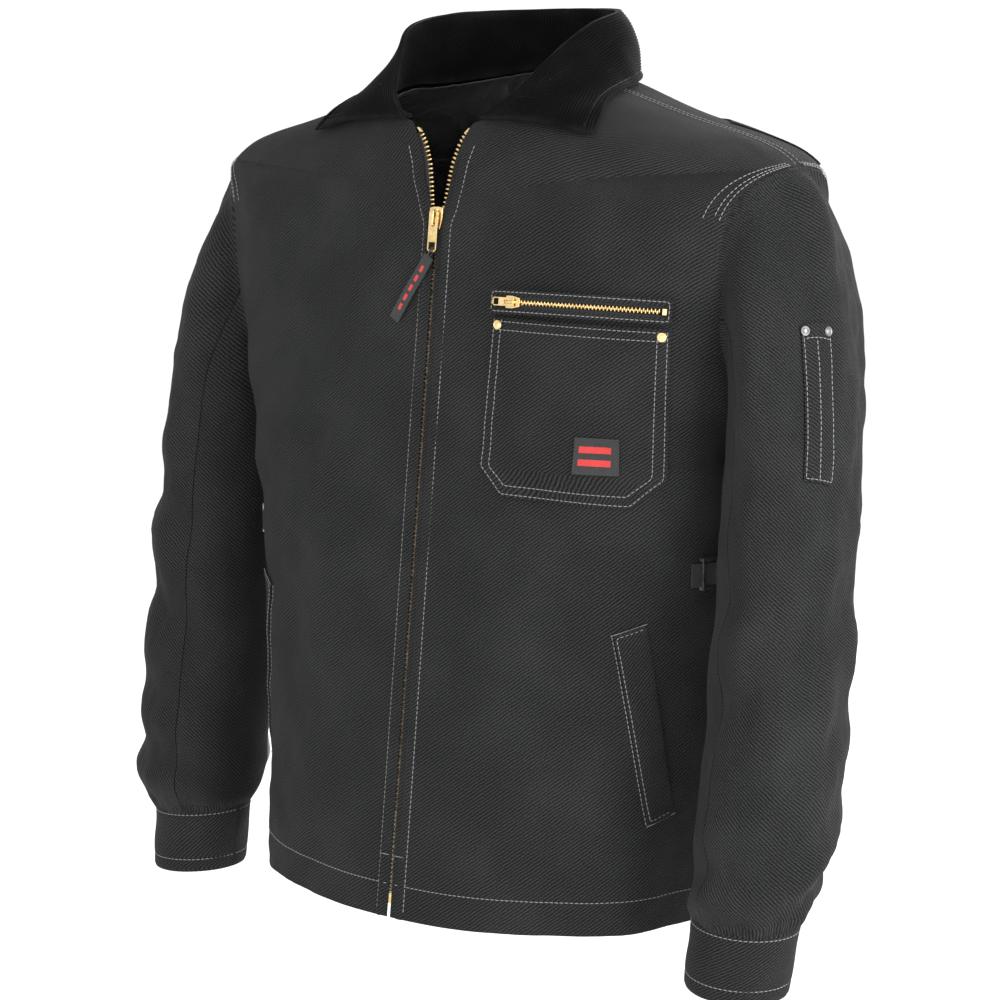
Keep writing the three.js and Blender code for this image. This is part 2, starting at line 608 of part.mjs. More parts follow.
// A strip of cloth or metal on the arc, from left to right and from low to high.
function strip(left, right, low, high, under, over) {
  const columns = steps(left, right, Math.max(1, Math.round((right - left) / 10)));
  return sheet(columns, [low, high], false, (s, v, face) => onArc(s, v, face ? over : under));
}
const chestSliderStart = 16;   // the slider's open end, along the arc
const chainStart = chestSliderStart + 7;
const chainEnd = arcLength - 8;
for (const [name, way] of [['upper', 1], ['lower', -1]]) {
  const banded = (left, right, near, far, under, over) =>
    strip(left, right, Math.min(way * near, way * far), Math.max(way * near, way * far), under, over);
  const pieces = [banded(chainStart, chainEnd, 1.3, 2.4, chainLow, chainHigh)];
  const first = chainStart + 1.5 + (way > 0 ? 0 : chestToothPitch / 2);
  for (let s = first; s < chainEnd - 1.2; s += chestToothPitch) {
    pieces.push(banded(s - 1, s + 1, 1.5, -0.8, chainLow, chainHigh));
  }
  add(`chest_zip_${name}_teeth`, joined(pieces), brass(), chestZip);
  add(`chest_zip_${name}_tape`, banded(4, arcLength - 3, 2.8, 8.6, chainLow + 0.6, chainLow + 1),
    cloth(0x0b0b0c), chestZip);
}
const endStop = strip(chainEnd + 0.5, chainEnd + 5, -2.5, 2.5, chainLow, chainHigh);
add('chest_zip_end_stop', endStop, brass(), chestZip);
const windowLow = chainLow + 1.5;
const windowHalf = chestZipPanel / 2;
const windowSlot = 5.3;
const barEnd = windowSlot + 0.2;
const windowBars = [
  [0, arcLength, windowSlot, windowHalf],
  [0, arcLength, -windowHalf, -windowSlot],
  [0, 7, -barEnd, barEnd],
  [arcLength - 2.2, arcLength, -barEnd, barEnd],
];
add('chest_zip_window', joined(windowBars.map(([left, right, low, high]) =>
  strip(left, right, low, high, windowLow, windowLow + 1))), duck(), chestZip);
const chestTurn = new THREE.Group();
const sliderMiddle = chestSliderStart + 8.5 * chestSize;
const sliderAngle = arcStart + sliderMiddle / arc.radius;
chestTurn.position.copy(onArc(sliderMiddle, 0, 0));
const outOfCloth = V(Math.sin(sliderAngle), 0, Math.cos(sliderAngle));
const toOpenEnd = V(-Math.cos(sliderAngle), 0, Math.sin(sliderAngle));
chestTurn.quaternion.setFromRotationMatrix(new THREE.Matrix4().makeBasis(V(0, 1, 0), toOpenEnd, outOfCloth));
chestZip.add(chestTurn);
const chestSlider = add('chest_slider', slider(chestSize, chainLow, chainHigh), brass(), chestTurn);
chestSlider.position.y = 8.5 * chestSize;
const chestPull = add('chest_pull', pull(chestSize, 26, true), brass(), chestTurn);
chestPull.position.set(0, -2.1 * chestSize, chainHigh + plateGap + (plateThick + pinLift) * chestSize);

// ---- Chest pocket ----
const patchLow = clothThick + layerGap;
const patchHigh = patchLow + 1;
const pocketLeft = chestZipStart - 1;
const pocketRight = chestZipEnd - 2;
const pocketRows = [0, 0.2, 0.4, 0.6, 0.8];
const cutShare = 1 - pocketCut / pocketHeight;
const pocketVs = [...pocketRows.map((v) => v * cutShare / 0.8), 1];
add('chest_pocket', sheet(steps(0, 1, 8), pocketVs, false, (u, v, face) => {
  const z = lerp(pocketTop, pocketBottom, v);
  const inset = v > cutShare ? (pocketCut * (v - cutShare)) / (1 - cutShare) : 0;
  const x = lerp(pocketLeft - 4 * v + inset, pocketRight - 5 * v - inset, u);
  return front(x, z - 3 * u, face ? patchHigh : patchLow);
}), duck());
add('chest_badge', sheet(steps(-17, 17, 3), [-14, 14], false, (x, z, face) =>
  front(pocketRight - 52 + x, pocketBottom + 36 + z, patchHigh + flatGap + (face ? 1 : 0.5))), cloth(0x151213));

const rivetProfile = [[0, 0], [3.7, 0], [3.7, 0.8], [2.6, 1.5], [0, 1.7]]
  .map(([x, y]) => new THREE.Vector2(x, y));
function addRivet(name, place, material) {
  const at = place(0);
  const rivet = add(name, new THREE.LatheGeometry(rivetProfile, 12), material);
  rivet.position.copy(at);
  rivet.quaternion.setFromUnitVectors(V(0, 1, 0), place(1).sub(at).normalize());
}
const rivetLift = patchHigh + flatGap + 0.3;
const chestRivets = [['inner', pocketLeft + 6, pocketTop - 6], ['outer', pocketRight - 6, pocketTop - 9]];
for (const [name, x, z] of chestRivets) {
  addRivet(`chest_rivet_${name}`, (n) => front(x, z, rivetLift + n), brass());
}

// ---- Hand pockets: a slanted welt outside and a bag inside ----
const weltTop = { angle: 62.8, row: 2.11 };     // middle of the slanted mouth's two ends
const weltBottom = { angle: 70.4, row: 0.9 };
for (const [name, side] of sides) {
  const at = (u, v, offset) => {
    const row = lerp(weltTop.row, weltBottom.row, v) + lerp(-0.03, 0.03, u);
    const angle = lerp(weltTop.angle, weltBottom.angle, v) + lerp(-3.3, 2.9, u);
    return body(side * rad(angle), row, offset);
  };
  add(`${name}_pocket_welt`, sheet(steps(0, 1, 2), steps(0, 1, 8), false, (u, v, face) =>
    at(u, v, patchLow + (face ? 1.2 : 0))), duck());
  add(`${name}_pocket_bag`, sheet(steps(-4, 1, 5), steps(-0.1, 1.15, 8), false, (u, v, face) =>
    at(u, v, face ? -1.7 : -2.2)), cloth(0x1c1c1e));
}

// ---- Sleeve pocket on the wearer's left sleeve ----
const penPocket = { fromTurn: 14, toTurn: 42, fromPlace: 2.35, toPlace: 3.55 };
add('sleeve_pocket', sheet(steps(0, 1, 4), steps(0, 1, 6), false, (u, v, face) => {
  const turn = rad(lerp(penPocket.fromTurn, penPocket.toTurn, u));
  const place = lerp(penPocket.fromPlace, penPocket.toPlace, v);
  return sleeve(turn, place, patchLow + (face ? 1 : 0));
}), duck());
const penRivetPlace = penPocket.fromPlace + 0.07;
for (const [name, turn] of [['back', penPocket.fromTurn + 3], ['front', penPocket.toTurn - 3]]) {
  addRivet(`sleeve_rivet_${name}`, (n) => sleeve(rad(turn), penRivetPlace, rivetLift + n), steel());
}

// ---- Side adjusters: a strap through a slide buckle on each side ----
const strapRow = 2.42;
const strapHalf = 9;
const strapLow = clothThick + 3.4;
const strapHigh = strapLow + 1;
const buckleAngle = 78;
for (const [name, side] of sides) {
  const frame = (angle, rise, offset) => {
    const p = body(side * rad(angle), strapRow, offset);
    return p.add(V(0, 0, rise));
  };
  const columns = [74, buckleAngle - 2.3, buckleAngle + 2.3, 87, 95, 103, 111, 118];
  const strap = sheet(columns, [-strapHalf, strapHalf], false, (angle, rise, face) =>
    frame(angle, rise, face ? strapHigh : strapLow));
  add(`${name}_adjuster_strap`, strap, cloth(0x151516));
  const centre = frame(buckleAngle, 0, 0);
  const out = frame(buckleAngle, 0, 1).sub(centre).setZ(0).normalize();
  const level = V(0, 0, 1).cross(out).normalize();
  const upright = out.clone().cross(level);
  const box = (left, right, bottom, top, low, high) =>
    block(outlineOf([[left, bottom], [right, bottom], [right, top], [left, top]]), low, high);
  const bar = (x, low, high) => box(x - 0.9, x + 0.9, -12, 12, low, high);
  const rail = (z) => box(-8, 8, z - 1.2, z + 1.2, strapLow - 1.9, strapHigh + 1.7);
  const overStrap = [strapHigh + 0.5, strapHigh + 1.7];
  const buckleShape = joined([
    rail(-11.2), rail(11.2),
    bar(-7, ...overStrap), bar(0, strapLow - 1.9, strapLow - 0.5), bar(7, ...overStrap),
  ]);
  const buckle = add(`${name}_adjuster_buckle`, buckleShape, steel());
  buckle.position.copy(centre);
  buckle.quaternion.setFromRotationMatrix(new THREE.Matrix4().makeBasis(level, upright, out));
}

export default jacket;
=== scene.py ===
"""A cotton duck work jacket with a corduroy collar: the looks of its cloth, seams, zips and trims.

Metres in Blender. The measures below are in millimetres and are scaled once, when a mesh is made.
The front faces -Y and the wearer's left is +X. Angle 0 is the front of the body, 90 degrees the
wearer's left side and 180 degrees the back. Rows run from 0 at the hem to 11 at the neck seam.
"""
import json
import math

import bmesh
import bpy
import numpy as np
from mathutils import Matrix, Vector


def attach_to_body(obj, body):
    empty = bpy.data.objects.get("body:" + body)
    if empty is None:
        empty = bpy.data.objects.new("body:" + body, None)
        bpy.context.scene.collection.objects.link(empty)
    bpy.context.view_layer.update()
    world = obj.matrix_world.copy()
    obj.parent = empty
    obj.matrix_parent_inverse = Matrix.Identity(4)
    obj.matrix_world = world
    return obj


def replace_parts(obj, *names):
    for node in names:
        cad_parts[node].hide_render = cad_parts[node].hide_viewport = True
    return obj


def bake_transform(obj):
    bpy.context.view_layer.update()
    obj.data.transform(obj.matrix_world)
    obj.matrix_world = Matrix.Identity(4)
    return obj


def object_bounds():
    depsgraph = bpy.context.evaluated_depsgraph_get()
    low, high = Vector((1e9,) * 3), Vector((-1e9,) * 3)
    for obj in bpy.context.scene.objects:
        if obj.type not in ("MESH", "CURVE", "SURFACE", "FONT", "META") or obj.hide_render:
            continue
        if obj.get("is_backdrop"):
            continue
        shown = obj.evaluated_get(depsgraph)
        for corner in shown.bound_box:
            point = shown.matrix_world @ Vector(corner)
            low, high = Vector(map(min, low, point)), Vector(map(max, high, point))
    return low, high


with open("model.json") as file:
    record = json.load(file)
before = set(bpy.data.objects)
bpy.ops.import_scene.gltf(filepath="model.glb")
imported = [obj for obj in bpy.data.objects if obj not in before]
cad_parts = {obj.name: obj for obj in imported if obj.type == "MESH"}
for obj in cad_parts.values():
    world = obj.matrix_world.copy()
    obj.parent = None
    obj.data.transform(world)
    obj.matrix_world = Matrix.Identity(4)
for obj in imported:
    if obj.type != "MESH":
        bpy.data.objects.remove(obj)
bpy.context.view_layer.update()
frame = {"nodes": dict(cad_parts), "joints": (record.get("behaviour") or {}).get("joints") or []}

MM = 0.001
rad = math.radians
JOINTS = {joint["name"]: joint for joint in frame["joints"]}

# ---- Camera, light and floor ----
VIEW_AZIMUTH = rad(36.4)
VIEW_DISTANCE = 2.2
VIEW_LENS = 96.2
VIEW_HEIGHT = 0.01
AIM_SIDE, AIM_HEIGHT = -0.0067, -0.343
JACKET_MIDDLE = -0.35
FLOOR_HEIGHT = -0.95
WORLD_LIGHT = 1.06
view_side = Vector((math.cos(VIEW_AZIMUTH), math.sin(VIEW_AZIMUTH), 0))
view_back = Vector((math.sin(VIEW_AZIMUTH), -math.cos(VIEW_AZIMUTH), 0))


def make_camera():
    camera = bpy.data.objects.new("camera", bpy.data.cameras.new("camera"))
    camera.data.lens = VIEW_LENS
    camera.data.sensor_width = 36
    camera.location = VIEW_DISTANCE * view_back + Vector((0, 0, VIEW_HEIGHT))
    aim = AIM_SIDE * view_side + Vector((0, 0, AIM_HEIGHT))
    camera.rotation_euler = (aim - camera.location).to_track_quat("-Z", "Y").to_euler()
    bpy.context.scene.collection.objects.link(camera)
    bpy.context.scene.camera = camera


def area_light(name, azimuth, height, distance, size, watts):
    light = bpy.data.objects.new(name, bpy.data.lights.new(name, "AREA"))
    light.data.energy = watts
    light.data.size = size
    middle = Vector((0, 0, JACKET_MIDDLE))
    light.location = middle + Vector((
        distance * math.sin(rad(azimuth)), -distance * math.cos(rad(azimuth)), height))
    light.rotation_euler = (middle - light.location).to_track_quat("-Z", "Y").to_euler()
    bpy.context.scene.collection.objects.link(light)


# ---- Node materials ----
class Nodes:
    """A short way to write a node tree: each call adds a node and returns it."""

    def __init__(self, name):
        self.material = bpy.data.materials.new(name)
        self.material.use_nodes = True
        self.tree = self.material.node_tree
        self.shader = self.tree.nodes["Principled BSDF"]

    def add(self, kind, values=(), **settings):
        node = self.tree.nodes.new(kind)
        for key, value in settings.items():
            setattr(node, key, value)
        for key, value in dict(values).items():
            self.link(value, node.inputs[key])
        return node

    def link(self, value, socket):
        if isinstance(value, bpy.types.NodeSocket):
            self.tree.links.new(value, socket)
        elif hasattr(value, "outputs"):
            self.tree.links.new(value.outputs[0], socket)
        else:
            socket.default_value = value

    def math(self, operation, a, b=0.0):
        return self.add("ShaderNodeMath", {0: a, 1: b}, operation=operation)

    def noise(self, vector, scale, detail=3.0):
        return self.add("ShaderNodeTexNoise", {"Vector": vector, "Scale": scale, "Detail": detail})

    def ramp(self, value, low, high):
        return self.add("ShaderNodeMapRange", {0: value, 1: low, 2: high}, interpolation_type="SMOOTHSTEP")

    def mix(self, factor, a, b):
        node = self.add("ShaderNodeMix", data_type="RGBA")
        self.link(factor, node.inputs[0])
        self.link(a, node.inputs[6])
        self.link(b, node.inputs[7])
        return node.outputs[2]

    def bump(self, height, distance, strength=1.0, normal=None):
        node = self.add("ShaderNodeBump", {"Height": height, "Distance": distance, "Strength": strength})
        if normal is not None:
            self.link(normal, node.inputs["Normal"])
        return node

    def finish(self, **values):
        for key, value in values.items():
            self.link(value, self.shader.inputs[key.replace("_", " ")])
        return self.material


def grey(level, tint=1.0):
    return (level, level * (1 + 0.02 * tint), level * (1 + 0.03 * tint), 1)


def cloth_metres(n):
    """The cloth's own coordinates, in metres, with its across and along parts."""
    uv = n.add("ShaderNodeUVMap", uv_map="cloth")
    parts = n.add("ShaderNodeSeparateXYZ", {0: uv})
    return uv, parts.outputs[0], parts.outputs[1]


def ribs(n, across, along, angle, pitch, wander):
    """A wave from -1 to 1 whose ribs run at an angle to the across direction."""
    turned = n.math("SUBTRACT", n.math("MULTIPLY", along, math.cos(angle)),
                    n.math("MULTIPLY", across, math.sin(angle)))
    phase = n.math("ADD", n.math("MULTIPLY", turned, 2 * math.pi / (pitch * MM)), wander)
    return n.math("SINE", phase)


def duck_material(name, level):
    """Charcoal duck: steep diagonal ribs with slubs, worn lighter where the cloth is rubbed."""
    n = Nodes(name)
    uv, across, along = cloth_metres(n)
    wander = n.math("MULTIPLY", n.noise(uv, 90, 2), 5.0)
    diagonal = ribs(n, across, along, rad(36), 2.4, wander)
    fine = ribs(n, across, along, rad(36), 0.75, n.math("MULTIPLY", n.noise(uv, 240, 1), 3.0))
    weft = ribs(n, across, along, rad(0), 0.9, 0.0)
    slub = n.ramp(n.noise(uv, 900, 2), 0.3, 0.75)
    patch = n.ramp(n.noise(uv, 14, 4), 0.35, 0.7)
    shade = n.math("ADD", n.math("MULTIPLY", diagonal, 0.32), n.math("MULTIPLY", fine, 0.08))
    shade = n.math("ADD", shade, n.math("MULTIPLY", slub, 0.55))
    shade = n.math("ADD", shade, n.math("MULTIPLY", patch, 0.16))
    color = n.mix(n.ramp(shade, -0.2, 1.1), grey(level * 0.28), grey(level * 2.5))
    height = n.math("ADD", n.math("MULTIPLY", diagonal, 0.5), n.math("MULTIPLY", fine, 0.3))
    height = n.math("ADD", height, n.math("MULTIPLY", weft, 0.15))
    height = n.math("ADD", height, n.math("MULTIPLY", slub, 0.5))
    crease = n.bump(n.noise(uv, 45, 4), 0.0012, 0.22)
    bump = n.bump(height, 0.0003, 0.85, crease)
    rough = n.ramp(shade, -0.4, 1.4)
    rough = n.math("ADD", n.math("MULTIPLY", rough, 0.14), 0.78)
    return n.finish(Base_Color=color, Roughness=rough, Normal=bump, Sheen_Weight=0.03,
                    Sheen_Roughness=0.4, Specular_IOR_Level=0.09)


def corduroy_material(name):
    n = Nodes(name)
    uv = cloth_metres(n)[0]
    nap = n.noise(uv, 520, 4)
    pile = n.ramp(n.noise(uv, 30, 3), 0.3, 0.75)
    # Painted shade: where Pointiness is low, in the grooves between the wales, the colour goes near black.
    painted_groove_shade_mask = n.ramp(n.add("ShaderNodeNewGeometry").outputs["Pointiness"], 0.47, 0.56)
    nap_color = n.mix(n.math("MULTIPLY", nap, pile), grey(0.003), grey(0.014))
    color = n.mix(painted_groove_shade_mask, grey(0.0006), nap_color)
    bump = n.bump(nap, 0.0005, 0.5)
    return n.finish(Base_Color=color, Roughness=0.88, Normal=bump, Sheen_Weight=0.10,
                    Sheen_Roughness=0.3, Specular_IOR_Level=0.07)


def satin_material(name):
    n = Nodes(name)
    uv, across, along = cloth_metres(n)
    pucker = n.noise(uv, 60, 3)
    threads = ribs(n, across, along, rad(12), 0.5, 0.0)
    color = n.mix(n.ramp(n.noise(uv, 12, 3), 0.3, 0.7), grey(0.006), grey(0.014))
    bump = n.bump(threads, 0.00005, 0.4, n.bump(pucker, 0.004, 0.5))
    return n.finish(Base_Color=color, Roughness=0.36, Normal=bump, Sheen_Weight=0.1,
                    Specular_IOR_Level=0.5)


def tape_material(name, level):
    n = Nodes(name)
    uv, across, along = cloth_metres(n)
    chevron = n.math("ADD", ribs(n, across, along, rad(45), 0.9, 0.0),
                     ribs(n, across, along, rad(-45), 0.9, 0.0))
    shade = n.ramp(n.math("ADD", chevron, n.noise(uv, 700, 2)), -1.0, 2.4)
    color = n.mix(shade, grey(level * 0.5), grey(level * 1.9))
    return n.finish(Base_Color=color, Roughness=0.82, Normal=n.bump(chevron, 0.0002, 0.6),
                    Sheen_Weight=0.15)


def banded_material(name, bands):
    """A black woven ribbon or label with plain red bands, given as (u0, u1, v0, v1) in millimetres."""
    n = Nodes(name)
    uv, across, along = cloth_metres(n)
    weave = n.math("MULTIPLY", ribs(n, across, along, 0.0, 0.7, 0.0),
                   ribs(n, across, along, rad(90), 0.7, 0.0))
    mask = 0.0
    for u0, u1, v0, v1 in bands:
        inside = n.math("LESS_THAN", n.math("ABSOLUTE", n.math("SUBTRACT", across, (u0 + u1) / 2 * MM)),
                        (u1 - u0) / 2 * MM)
        level = n.math("LESS_THAN", n.math("ABSOLUTE", n.math("SUBTRACT", along, (v0 + v1) / 2 * MM)),
                       (v1 - v0) / 2 * MM)
        mask = n.math("MAXIMUM", mask, n.math("MULTIPLY", inside, level))
    black = n.mix(n.noise(uv, 600, 2), grey(0.006), grey(0.026))
    red = n.mix(n.noise(uv, 900, 2), (0.36, 0.012, 0.014, 1), (0.72, 0.045, 0.04, 1))
    color = n.mix(mask, black, red)
    height = n.math("ADD", n.math("MULTIPLY", weave, 0.5), mask)
    return n.finish(Base_Color=color, Roughness=0.68, Normal=n.bump(height, 0.0002, 0.7), Sheen_Weight=0.1)


def metal_material(name, light, dark, roughness):
    """Metal with faint smears, tarnished a little where it is rough."""
    n = Nodes(name)
    place = n.add("ShaderNodeTexCoord").outputs["Object"]
    smear = n.ramp(n.noise(place, 260, 4), 0.3, 0.75)
    scratch = n.noise(place, 1800, 2)
    color = n.mix(smear, dark, light)
    rough = n.math("ADD", n.math("MULTIPLY", scratch, 0.18), roughness - 0.05)
    return n.finish(Base_Color=color, Metallic=1.0, Roughness=rough, Normal=n.bump(scratch, 0.00006, 0.3))


def thread_material(name, level):
    n = Nodes(name)
    place = n.add("ShaderNodeTexCoord").outputs["Object"]
    ply = n.noise(place, 2600, 2)
    color = n.mix(ply, grey(level * 0.6, -1), grey(level * 1.25, -1))
    return n.finish(Base_Color=color, Roughness=0.7, Normal=n.bump(ply, 0.0001, 0.5), Sheen_Weight=0.2)


def floor_material():
    n = Nodes("floor")
    place = n.add("ShaderNodeTexCoord").outputs["Object"]
    color = n.mix(n.noise(place, 1.2, 3), (0.95, 0.95, 0.95, 1), (0.97, 0.97, 0.97, 1))
    return n.finish(Base_Color=color, Roughness=0.9, Specular_IOR_Level=0.1)


DUCK = duck_material("duck", 0.0185)
DUCK_INSIDE = duck_material("duck_inside", 0.018)
CORDUROY = corduroy_material("corduroy")
SATIN = satin_material("satin")
TAPE = tape_material("zip_tape", 0.008)
WEBBING = tape_material("webbing", 0.014)
POCKETING = tape_material("pocketing", 0.02)
LABEL = banded_material("label", [(4, 30, 6.5, 11.5), (4, 30, 16.5, 21.5)])
RIBBON = banded_material("ribbon", [(3.6, 6.4, 9 + 9 * i, 14.5 + 9 * i) for i in range(5)])
BRASS = metal_material("brass", (0.92, 0.72, 0.38, 1), (0.74, 0.52, 0.22, 1), 0.24)
# A darker copy of the brass: painted shade for the chain's teeth below the slider, which lie in the shadow
# of the placket edges.
SHADED_BRASS = metal_material("shaded_brass", (0.26, 0.21, 0.14, 1), (0.07, 0.055, 0.035, 1), 0.4)
DARK_METAL = metal_material("dark_metal", (0.34, 0.34, 0.35, 1), (0.16, 0.16, 0.17, 1), 0.42)
THREAD = thread_material("thread", 0.25)
THREAD_DARK = thread_material("thread_dark", 0.02)


# ---- Meshes ----
def make_object(name, vertices, faces, material, uvs=None, sharp=40):
    """An object from points in millimetres, faces and one cloth coordinate per point."""
    mesh = bpy.data.meshes.new(name)
    mesh.from_pydata((np.asarray(vertices) * MM).tolist(), [], faces)
    layer = mesh.uv_layers.new(name="cloth")
    if uvs is not None:
        corner = np.empty(len(mesh.loops), int)
        mesh.loops.foreach_get("vertex_index", corner)
        layer.data.foreach_set("uv", (np.asarray(uvs)[corner] * MM).astype(np.float32).ravel())
    mesh.materials.append(material)
    mesh.shade_smooth()
    mesh.set_sharp_from_angle(angle=rad(sharp))
    item = bpy.data.objects.new(name, mesh)
    bpy.context.scene.collection.objects.link(item)
    return item


def attach(piece, slot, body_name, *nodes):
    """Give a piece the body that it rides on and the nodes that it stands for; the slot is not used."""
    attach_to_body(piece, body_name)
    if nodes:
        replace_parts(piece, *nodes)
    return piece


def arc_lengths(points, axis):
    """How far each point of a grid is along its row or column, in millimetres."""
    steps = np.linalg.norm(np.diff(points, axis=axis), axis=2)
    start = np.zeros_like(np.take(steps, [0], axis=axis))
    return np.cumsum(np.concatenate([start, steps], axis=axis), axis=axis)


def grid_faces(rows, columns, start, flip):
    j, i = np.meshgrid(np.arange(rows - 1), np.arange(columns - 1), indexing="ij")
    a = start + j * columns + i
    quads = np.stack([a, a + 1, a + columns + 1, a + columns], axis=-1).reshape(-1, 4)
    return quads[:, ::-1] if flip else quads


def sheet_object(name, outer, inner, material, sign=1, middle=False, cut=None):
    """A closed sheet between two grids of points; the outer one faces away from the inner one."""
    rows, columns = outer.shape[:2]
    count = rows * columns
    sideways = np.cross(outer[rows // 2, columns // 2 + 1] - outer[rows // 2, columns // 2],
                        outer[rows // 2 + 1, columns // 2] - outer[rows // 2, columns // 2])
    outward = outer[rows // 2, columns // 2] - inner[rows // 2, columns // 2]
    flip = float(np.dot(sideways, outward)) < 0
    ring = np.concatenate([
        np.arange(columns), np.arange(1, rows) * columns + columns - 1,
        (rows - 1) * columns + np.arange(columns - 2, -1, -1), np.arange(rows - 2, 0, -1) * columns])
    after = np.roll(ring, -1)
    rim = np.stack([ring, ring + count, after + count, after], axis=-1)
    faces = np.concatenate([grid_faces(rows, columns, 0, flip), grid_faces(rows, columns, count, not flip),
                            rim[:, ::-1] if flip else rim])
    across, along = cut or (arc_lengths(outer, 1), arc_lengths(outer, 0))
    if middle:
        across = across - across[:, columns // 2:columns // 2 + 1]
    uvs = np.stack([sign * across, along], axis=-1).reshape(-1, 2)
    vertices = np.concatenate([outer.reshape(-1, 3), inner.reshape(-1, 3)])
    return make_object(name, vertices, faces.tolist(), material, np.concatenate([uvs, uvs]))


def grid_normals(points):
    du = np.gradient(points, axis=1)
    dv = np.gradient(points, axis=0)
    normal = np.cross(du, dv)
    return normal / np.linalg.norm(normal, axis=2, keepdims=True)


def smoothstep(value, low, high):
    t = np.clip((value - low) / (high - low), 0, 1)
    return t * t * (3 - 2 * t)


def bell(value, middle, width):
    return np.exp(-(((value - middle) / width) ** 2))


def ripples(x, y, length, seed, lean=1.0):
    """Soft random waves of about one wavelength, from -1 to 1. Lean above 1 draws them out along y."""
    rng = np.random.default_rng(seed)
    total = 0
    for _ in range(6):
        turn = rng.uniform(0, math.pi)
        wave = 2 * math.pi / (length * rng.uniform(0.7, 1.5))
        total = total + np.sin(wave * (x * math.cos(turn) + y * math.sin(turn) / lean) + rng.uniform(0, 7))
    return total / 3.2


# ---- The body ----
ZIP_SETBACK = -81.3
ZIP_LEAN = 0.1201
# Each row: half width, z at the front, side and back, depth of the back, squareness, middle y.
SECTIONS = np.array([
    (206, -662, -657, -660, 140, 2.4, 4),
    (212, -560, -556, -560, 139, 2.4, 4),
    (221, -430, -428, -430, 137, 2.6, 4),
    (234, -305, -300, -300, 135, 3.0, 4),
    (248, -205, -195, -195, 133, 3.3, 4),
    (262, -135, -118, -115, 128, 3.3, 4),
    (271, -99, -74, -74, 119, 3.0, 4),
    (259, -85, -56, -53, 114, 2.9, 4),
    (228, -72, -42, -37, 107, 2.8, 4),
    (170, -54, -26, -12, 96, 2.7, 4),
    (118, -40, -9, 8, 84, 2.8, 2),
    (88, -34, 0, 14, 76, 2.8, 0),
], float)
NECK_ROW = len(SECTIONS) - 1
TIP_ROW = 6.5
UNDERARM_ROW = 3.1
ARMHOLE_MID = (TIP_ROW + UNDERARM_ROW) / 2
ARMHOLE_HALF = (TIP_ROW - UNDERARM_ROW) / 2
ARMHOLE_ANGLE = rad(15)
CLOTH = 1.4
SEAM_GAP = 0.5
BODY_RADIUS = 230   # turns an angle round the body into a distance along its cloth


def along(table, place):
    """A smooth cubic through the rows of a table, at fractional places."""
    at = np.clip(place, 0, len(table) - 1)
    i = np.minimum(np.floor(at).astype(int), len(table) - 2)
    f = (at - i)[..., None]
    a = table[np.maximum(i - 1, 0)]
    b = table[i]
    c = table[i + 1]
    d = table[np.minimum(i + 2, len(table) - 1)]
    return 0.5 * (2 * b + (c - a) * f + (2 * a - 5 * b + 4 * c - d) * f ** 2
                  + (3 * b - a - 3 * c + d) * f ** 3)


def section_at(row):
    return np.moveaxis(along(SECTIONS, np.asarray(row, float)), -1, 0)


def body_point(angle, row):
    half, front_z, side_z, back_z, depth, square, mid = section_at(row)
    sin, cos = np.sin(angle), np.cos(angle)
    is_front = cos > 0
    reach = np.where(is_front, mid - (ZIP_SETBACK + ZIP_LEAN * front_z), depth - mid)
    r = ((np.abs(sin) / half) ** square + (np.abs(cos) / reach) ** square) ** (-1 / square)
    far = np.where(is_front, front_z, back_z)
    return np.stack([r * sin, mid - r * cos, side_z + (far - side_z) * cos ** 2], axis=-1)


def normal_of(point, u, v, step=1e-3):
    du = point(u + step, v) - point(u - step, v)
    dv = point(u, v + step) - point(u, v - step)
    normal = np.cross(du, dv)
    return normal / np.linalg.norm(normal, axis=-1, keepdims=True)


def body_folds(angle, row, p):
    """How far the worn cloth stands off its smooth form: hem waves, drag lines and soft creases."""
    x, z = p[..., 0], p[..., 2]
    angle = np.where(angle > math.pi, angle - 2 * math.pi, angle)
    turn = np.degrees(np.abs(angle))
    clear_of_spine = 1 - bell(turn, 180, 10)
    clear_of_zip = smoothstep(turn, 14, 40)
    clear_of_chest = 1 - 0.97 * bell(z, -165, 42) * bell(x, 138, 105) * (np.cos(angle) > 0)
    clear_of_strap = 1 - 0.9 * bell(z, -373, 34) * bell(turn, 80, 22)
    clear_of_neck = 1 - smoothstep(row, 7.5, 9.5)
    side = angle * BODY_RADIUS
    hem = 4.2 * smoothstep(-z, 430, 660) * np.sin(5.2 * angle + 0.9 + 0.6 * np.sin(2.1 * angle))
    drape = 2.6 * smoothstep(-z, 260, 420) * ripples(side, z * 0.18, 105, 3)
    drag = 2.4 * bell(turn, 66, 30) * bell(z, -330, 120) * np.sin((side * 0.75 + np.sign(angle) * z) / 13.5)
    back = 2.4 * smoothstep(turn, 110, 150) * bell(z, -380, 190) * ripples(side, z, 120, 8, 2.2)
    crumple = 0.75 * ripples(side, z, 44, 5, 1.3) + 0.35 * ripples(side, z, 19, 6, 1.2)
    hem = hem * (1 - 0.6 * bell(turn, 95, 25))
    clear = clear_of_zip * clear_of_chest * clear_of_strap * clear_of_neck * clear_of_spine
    return (hem + drape + drag + back + crumple) * clear


def body(angle, row, offset=0.0):
    angle, row = np.broadcast_arrays(np.asarray(angle, float), np.asarray(row, float))
    p = body_point(angle, row)
    lift = body_folds(angle, row, p) + offset
    return p + normal_of(body_point, angle, row) * lift[..., None]


def angle_at(x, row):
    half, front_z, _, _, _, square, mid = section_at(row)
    reach = mid - (ZIP_SETBACK + ZIP_LEAN * front_z)
    share = np.minimum(np.abs(x) / half, 0.9999)
    return np.arctan2(x, reach * (1 - share ** square) ** (1 / square))


